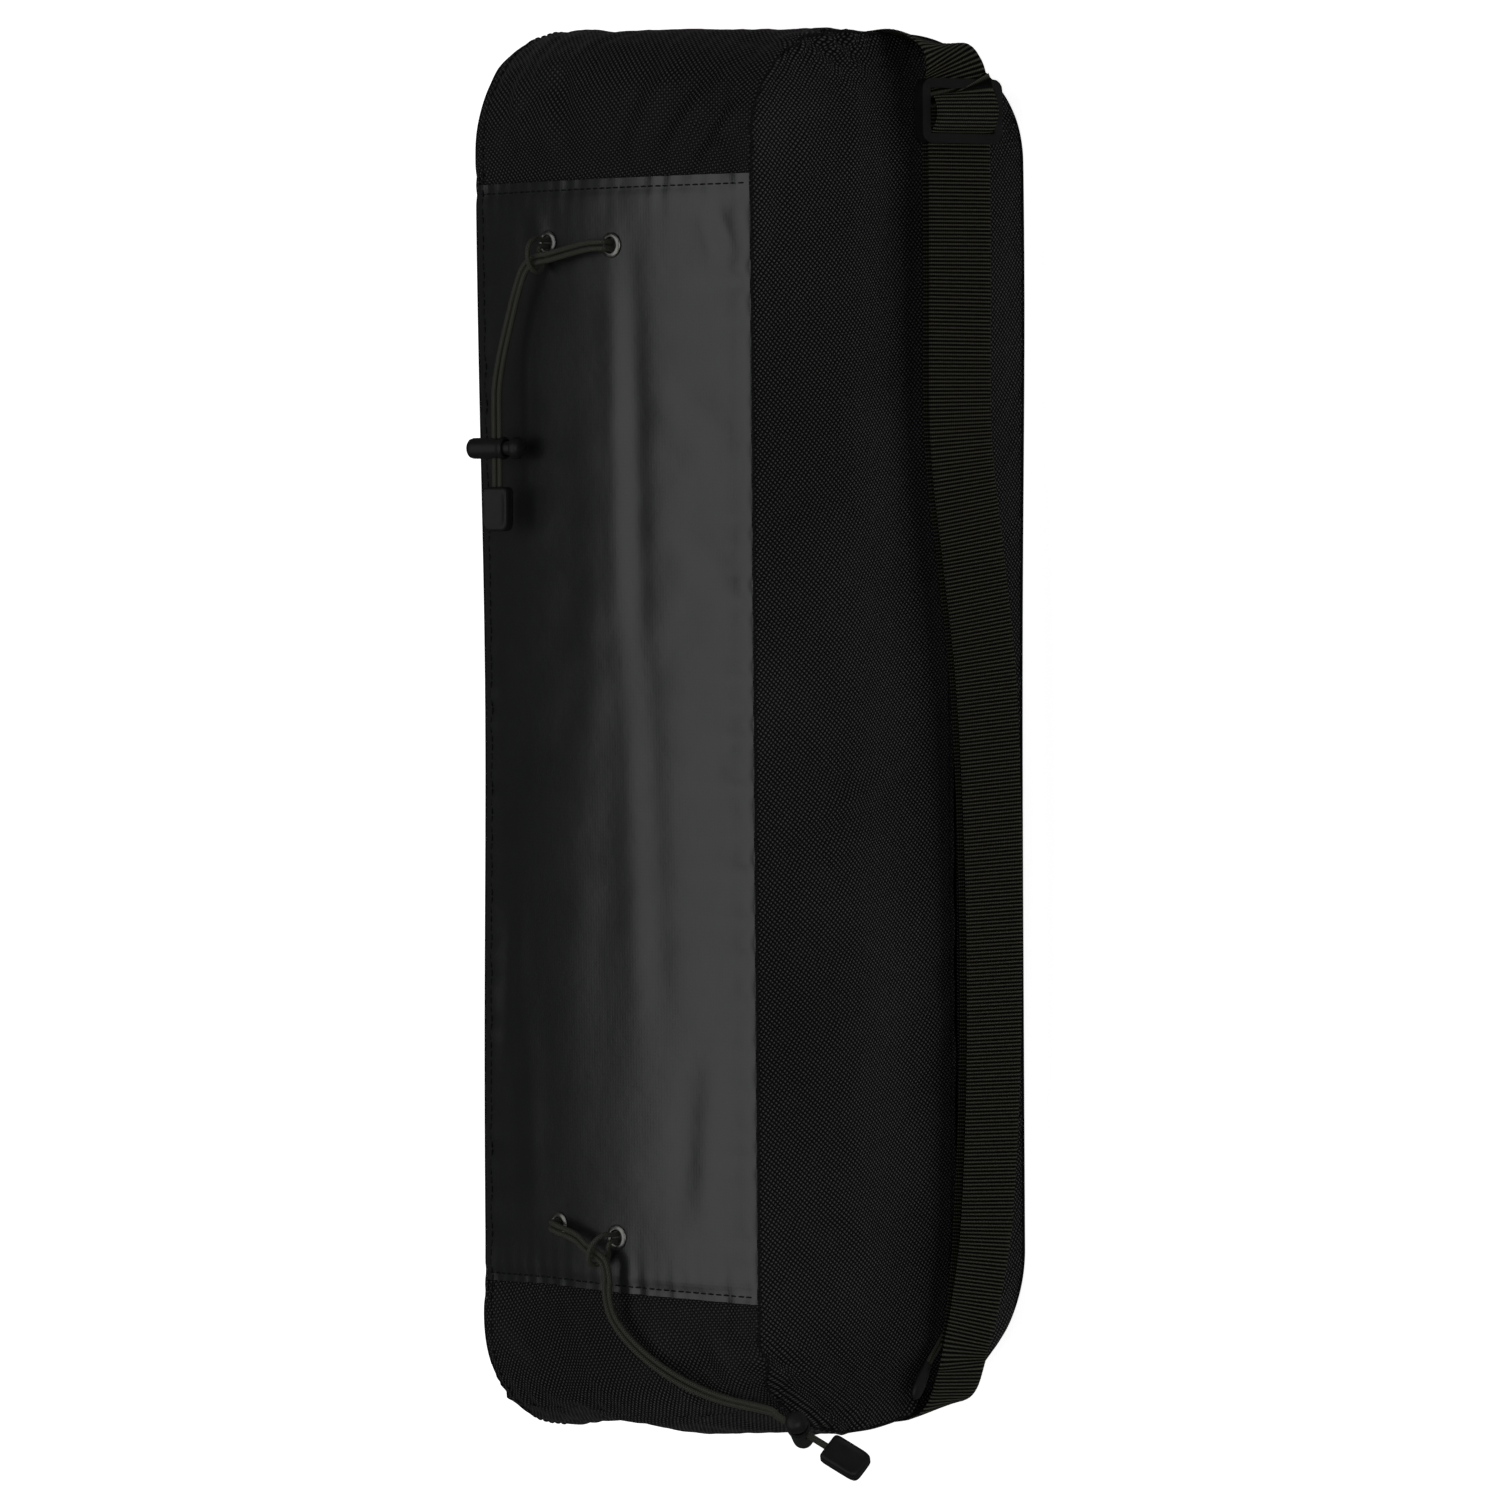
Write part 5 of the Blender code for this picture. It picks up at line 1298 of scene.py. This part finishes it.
class SACK_OT_zip_pull(bpy.types.Operator):
    """Builds the zip's pull: a looped cord and its moulded tip"""
    bl_idname = "sack.zip_pull"
    bl_label = "Zip pull"

    def execute(self, context):
        joint = next(j for j in frame["joints"] if j["name"] == "zip_pull_swing")
        pivot = Vector(joint["pos_m"])
        angle = math.radians(33.5)
        along = Vector((-math.cos(angle), 0, math.sin(angle)))
        across = Vector((math.sin(angle), 0, math.cos(angle)))
        near = built["shell"].near.reshape(-1, 3)

        def outward(point):
            """The point moved out so that the cord lies on the cloth, not in it."""
            close = np.hypot(near[:, 0] - point[0], near[:, 2] - point[2]) < 4 * MM
            if not close.any():
                return point
            return Vector((point[0], min(point[1], near[close, 1].min() - 1.4 * MM), point[2]))

        route = []
        for distance, bow in ((0.8, -1.0), (-0.6, 0.0), (0.8, 1.0), (6, 1.4), (18, -1.0), (34, -2.0), (53, 0.9)):
            spot = pivot + along * distance * MM + across * bow * MM
            route.append(outward(spot) if distance > 10 else spot)
        back = []
        for distance, bow in ((0.8, -1.0), (6, -0.9), (18, -3.1), (34, -4.0), (53, -0.9)):
            spot = pivot + along * distance * MM + across * bow * MM
            back.append(outward(spot) if distance > 10 else spot)
        path = smooth_route(list(reversed(back)) + route[1:], 0.6 * MM)
        loop = tube("zip_pull_cord_braid", path, 0.8 * MM, "cord", sides=10)
        settle(loop, "zip_pull", "zip_pull_cord", slot="elastic_cord")
        profile = [(0, 51.6), (1.6, 51.7), (2.1, 52.3), (2.25, 53.2), (2.05, 54.0), (2.35, 54.7), (2.9, 58.0),
                   (3.2, 62.0), (3.15, 65.0), (2.6, 67.4), (1.6, 68.6), (0, 69.0)]
        low_end = route[-1]
        raised = Vector((0, low_end[1] - pivot[1], 0))
        place = placement(pivot + raised, along, across)
        tip = lathe("zip_pull_tip_moulded", profile, place, "plastic", squeeze=0.62)
        settle(tip, "zip_pull", "zip_pull_tip", slot="moulded_plastic")
        return {"FINISHED"}


# ---------------------------------------------------------------- shoulder strap

STRAP_BOTTOM_X = -0.2620
LAYER_OFFSET = 4.8 * MM


def strap_rows():
    """Middle, width direction and outward normal along the whole front layer, from its upper sewn end to its lower."""
    route = [(0.2968, -0.0350, 0.0830, 0), (0.2955, -0.0560, 0.0795, 0), (0.2944, -0.0740, 0.0762, 0),
             (0.2933, -0.0840, 0.0740, 3), (0.2905, -0.0922, 0.0716, 8), (0.2862, -0.0978, 0.0690, 13),
             (0.2800, -0.1004, 0.0664, 16), (0.2720, -0.1010, 0.0644, 18), (0.2620, -0.1010, 0.0634, 18),
             (0.2000, -0.1010, 0.0632, 18), (0.1250, -0.1010, 0.0632, 18),
             (0.0720, -0.1012, 0.0555, 18), (0.0200, -0.1012, 0.0480, 17), (-0.0550, -0.1005, 0.0432, 13),
             (-0.1350, -0.1000, 0.0430, 9), (-0.2050, -0.0985, 0.0462, 6), (-0.2400, -0.0965, 0.0510, 3),
             (-0.2620, -0.0945, 0.0560, 0), (-0.2720, -0.0922, 0.0570, 0), (-0.2805, -0.0893, 0.0580, 0),
             (-0.2865, -0.0843, 0.0590, 0), (-0.2890, -0.0775, 0.0590, 0), (-0.2905, -0.0700, 0.0590, 0),
             (-0.2945, -0.0400, 0.0590, 0)]
    middle = smooth_route([r[:3] for r in route], 0.30 * MM)
    keys = np.array(route)
    lengths = np.concatenate([[0], np.cumsum(np.linalg.norm(np.diff(middle, axis=0), axis=1))])
    at_keys = [lengths[np.argmin(np.linalg.norm(middle - k[:3], axis=1))] for k in keys]
    tilt = np.radians(np.interp(lengths, at_keys, keys[:, 3]))
    run = np.gradient(middle, axis=0)
    run /= np.linalg.norm(run, axis=1, keepdims=True)
    width = np.stack([np.zeros(len(tilt)), np.sin(tilt), np.cos(tilt)], axis=1)
    lower_slant = smooth_step((-0.280 - middle[:, 0]) / 0.014)
    upper_slant = smooth_step((middle[:, 0] - 0.262) / 0.028) * smooth_step((-0.062 - middle[:, 1]) / 0.024)
    width[:, 0] += 0.20 * upper_slant - 0.24 * lower_slant
    width -= run * np.sum(width * run, axis=1, keepdims=True)
    width /= np.linalg.norm(width, axis=1, keepdims=True)
    return middle, width, np.cross(width, run), lengths


def webbing(name, middle, width, normal, lengths, columns=18):
    """Webbing with a rounded section and its cross ribs as real relief; closed at both ends."""
    half = trim().web_width / 2
    thick = trim().web_thick / 2
    section = []
    for k in range(columns + 1):
        t = k / columns * 2 - 1
        section.append((t * half, thick * (1 - abs(t) ** 12 * 0.75)))
    ribs = 0.5 + 0.5 * np.cos(math.tau * lengths / trim().rib_pitch)
    points, uvs, faces = [], [], []
    for m, w, n, s, rib in zip(middle, width, normal, lengths, ribs):
        for side in (1, -1):
            for across, height in (section if side > 0 else reversed(section)):
                relief = height * (0.68 + 0.32 * rib)
                points.append(m + w * across + n * side * relief)
                uvs.append((s, across))
    count = 2 * (columns + 1)
    for i in range(len(middle) - 1):
        for k in range(count):
            n = (k + 1) % count
            faces.append((i * count + k, (i + 1) * count + k, (i + 1) * count + n, i * count + n))
    faces.append(tuple(range(count)))
    faces.append(tuple((len(middle) - 1) * count + k for k in reversed(range(count))))
    return mesh_piece(name, points, faces, "webbing", uvs, sharp=60)


class SACK_OT_strap(bpy.types.Operator):
    """Builds the shoulder webbing: front layer in two halves, return layer, folded lower end and box stitching"""
    bl_idname = "sack.strap"
    bl_label = "Shoulder strap"

    def execute(self, context):
        middle, width, normal, lengths = strap_rows()
        x = middle[:, 0]
        split = int(np.argmin(np.abs(x - 0.0)))
        upper = webbing("strap_front_upper_webbing", middle[:split + 1], width[:split + 1], normal[:split + 1],
                        lengths[:split + 1])
        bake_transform(upper)
        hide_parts("strap_front_layer", "strap_upper_tab")
        lower = webbing("strap_front_lower_webbing", middle[split:], width[split:], normal[split:], lengths[split:])
        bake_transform(lower)
        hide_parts("strap_lower_tab")
        self.return_layer(middle, width, normal, lengths)
        self.glide_wrap(middle, width, normal)
        self.box_stitches(middle, width, normal)
        return {"FINISHED"}

    def return_layer(self, middle, width, normal, lengths):
        """The webbing's second layer, from the slide's middle bar down behind the first."""
        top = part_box("strap_return_layer")[1][0]
        keep = (middle[:, 0] < top) & (middle[:, 0] > STRAP_BOTTOM_X) & (middle[:, 1] < -0.09)
        m, w, n, s = middle[keep], width[keep], normal[keep], lengths[keep]
        closing = smooth_step((m[:, 0] - STRAP_BOTTOM_X) / 0.06)[:, None]
        offset = (trim().web_thick + 0.4 * MM) * (1 - closing) + LAYER_OFFSET * closing
        layer = webbing("strap_return_webbing", m - n * offset, w, n, s)
        settle(layer, "shoulder_strap", "strap_return_layer", slot="webbing")

    def glide_wrap(self, middle, width, normal):
        """The stretch of webbing that rises over the slide's middle bar; it travels with the slide."""
        low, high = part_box("strap_tri_glide")
        centre = float(low[0] + high[0]) / 2
        keep = np.abs(middle[:, 0] - centre) < 9.3 * MM
        m, w, n = middle[keep][::-1], width[keep][::-1], normal[keep][::-1]
        along = (m[:, 0] - centre) / (9.3 * MM)
        hump = (1 - np.abs(along) ** 2.2)[:, None]
        path = m + n * (1.5 * MM + 4.0 * MM * hump) - w * 1.2 * MM * hump
        lengths = np.concatenate([[0], np.cumsum(np.linalg.norm(np.diff(path, axis=0), axis=1))])
        run = np.gradient(path, axis=0)
        run /= np.linalg.norm(run, axis=1, keepdims=True)
        wrap = webbing("strap_glide_wrap_webbing", path, w, np.cross(w, run) * -1, lengths)
        settle(wrap, "buckle", slot="webbing")

    def box_stitches(self, middle, width, normal):
        """A sewn rectangle with a cross through each fixed end of the webbing."""
        lines = []
        half = trim().web_width / 2 - 3 * MM
        for near, far in ((-0.040, -0.066), (-0.044, -0.066)):
            upper_end = near == -0.040
            rows = np.where((middle[:, 0] > 0.29) if upper_end else (middle[:, 0] < -0.29))[0]

            def at(y, across):
                row = rows[np.argmin(np.abs(middle[rows, 1] - y))]
                return middle[row] + width[row] * across + normal[row] * trim().web_thick * 0.5, normal[row]

            corners = [(near, -half), (near, half), (far, half), (far, -half), (near, -half), (far, half)]
            crossing = [(near, half), (far, -half)]
            for chain in (corners, crossing):
                for (y0, a0), (y1, a1) in zip(chain, chain[1:]):
                    places, normals = zip(*(at(y0 + (y1 - y0) * t, a0 + (a1 - a0) * t)
                                            for t in np.linspace(0, 1, 12)))
                    lines.append((np.array(places), np.array(normals)))
        stitch_row("strap_box_stitches", lines, 2.6 * MM, "sack", gauge=0.3 * MM)


# ---------------------------------------------------------------- stage

def area_light(name, place, aim, size, power):
    data = bpy.data.lights.new(name, "AREA")
    data.shape = "RECTANGLE"
    data.size, data.size_y = size
    data.energy = power
    lamp = bpy.data.objects.new(name, data)
    lamp.location = place
    lamp.rotation_euler = (Vector(aim) - Vector(place)).to_track_quat("-Z", "Y").to_euler()
    bpy.context.scene.collection.objects.link(lamp)
    return lamp


class SACK_OT_stage(bpy.types.Operator):
    """Sets the floor, the soft studio lights and the camera"""
    bl_idname = "sack.stage"
    bl_label = "Stage"

    def execute(self, context):
        self.camera(context)
        corners = [(-30, -30, 0), (30, -30, 0), (30, 30, 0), (-30, 30, 0)]
        floor = mesh_piece("studio_floor", corners, [(0, 1, 2, 3)], "floor")
        floor.visible_glossy = False       # black cloth shows no mirror image of the bright floor
        world = bpy.data.worlds.new("studio")
        world.use_nodes = True
        world.node_tree.nodes["Background"].inputs["Color"].default_value = (1, 1, 1, 1)
        world.node_tree.nodes["Background"].inputs["Strength"].default_value = 0.05
        context.scene.world = world
        context.scene.view_settings.view_transform = "Standard"
        area_light("overhead_softbox", (0.0, 0.36, 1.75), (0, 0.36, 0), (2.4, 1.72), 13.6)
        area_light("side_softbox", (0.10, -1.55, 1.75), (0, -0.05, 0.10), (1.3, 0.8), 10)
        return {"FINISHED"}

    def camera(self, context):
        """Looks square at the long side seam with the sack's upper end up."""
        place = Vector((0.1200, -1.9000, 2.1379))
        aim = Vector((-0.0083, -0.0011, 0.0875))
        forward = (aim - place).normalized()
        right = forward.cross(Vector((1, 0, 0))).normalized()
        up = right.cross(forward)
        roll = math.radians(-0.42)
        turned_right = right * math.cos(roll) + up * math.sin(roll)
        turned_up = up * math.cos(roll) - right * math.sin(roll)
        data = bpy.data.cameras.new("studio_camera")
        data.sensor_width = 36
        data.lens = 156.25
        camera = bpy.data.objects.new("studio_camera", data)
        matrix = Matrix((turned_right, turned_up, -forward)).transposed().to_4x4()
        matrix.translation = place
        camera.matrix_world = matrix
        context.scene.collection.objects.link(camera)
        context.scene.camera = camera


class SACK_PT_panel(bpy.types.Panel):
    bl_label = "Compression sack"
    bl_idname = "SACK_PT_panel"
    bl_space_type = "VIEW_3D"
    bl_region_type = "UI"
    bl_category = "Sack"

    def draw(self, context):
        layout = self.layout
        for group in (context.scene.sack_fabric, context.scene.sack_trim, context.scene.sack_colours):
            for key in group.__annotations__:
                layout.prop(group, key)
        for operator in OPERATORS:
            layout.operator(operator.bl_idname)


OPERATORS = (SACK_OT_stage, SACK_OT_body, SACK_OT_eyelets, SACK_OT_drawcords, SACK_OT_zip_pull, SACK_OT_strap,
             SACK_OT_hardware)
CLASSES = (SackFabric, SackTrim, SackColours) + OPERATORS + (SACK_PT_panel,)


def register():
    for item in CLASSES:
        bpy.utils.register_class(item)
    bpy.types.Scene.sack_fabric = bpy.props.PointerProperty(type=SackFabric)
    bpy.types.Scene.sack_trim = bpy.props.PointerProperty(type=SackTrim)
    bpy.types.Scene.sack_colours = bpy.props.PointerProperty(type=SackColours)


def unregister():
    del bpy.types.Scene.sack_fabric
    del bpy.types.Scene.sack_trim
    del bpy.types.Scene.sack_colours
    for item in reversed(CLASSES):
        bpy.utils.unregister_class(item)


def main():
    register()
    bpy.ops.sack.stage()
    bpy.ops.sack.body()
    bpy.ops.sack.eyelets()
    bpy.ops.sack.drawcords()
    bpy.ops.sack.zip_pull()
    bpy.ops.sack.strap()
    bpy.ops.sack.hardware()


if __name__ == "__main__":
    main()
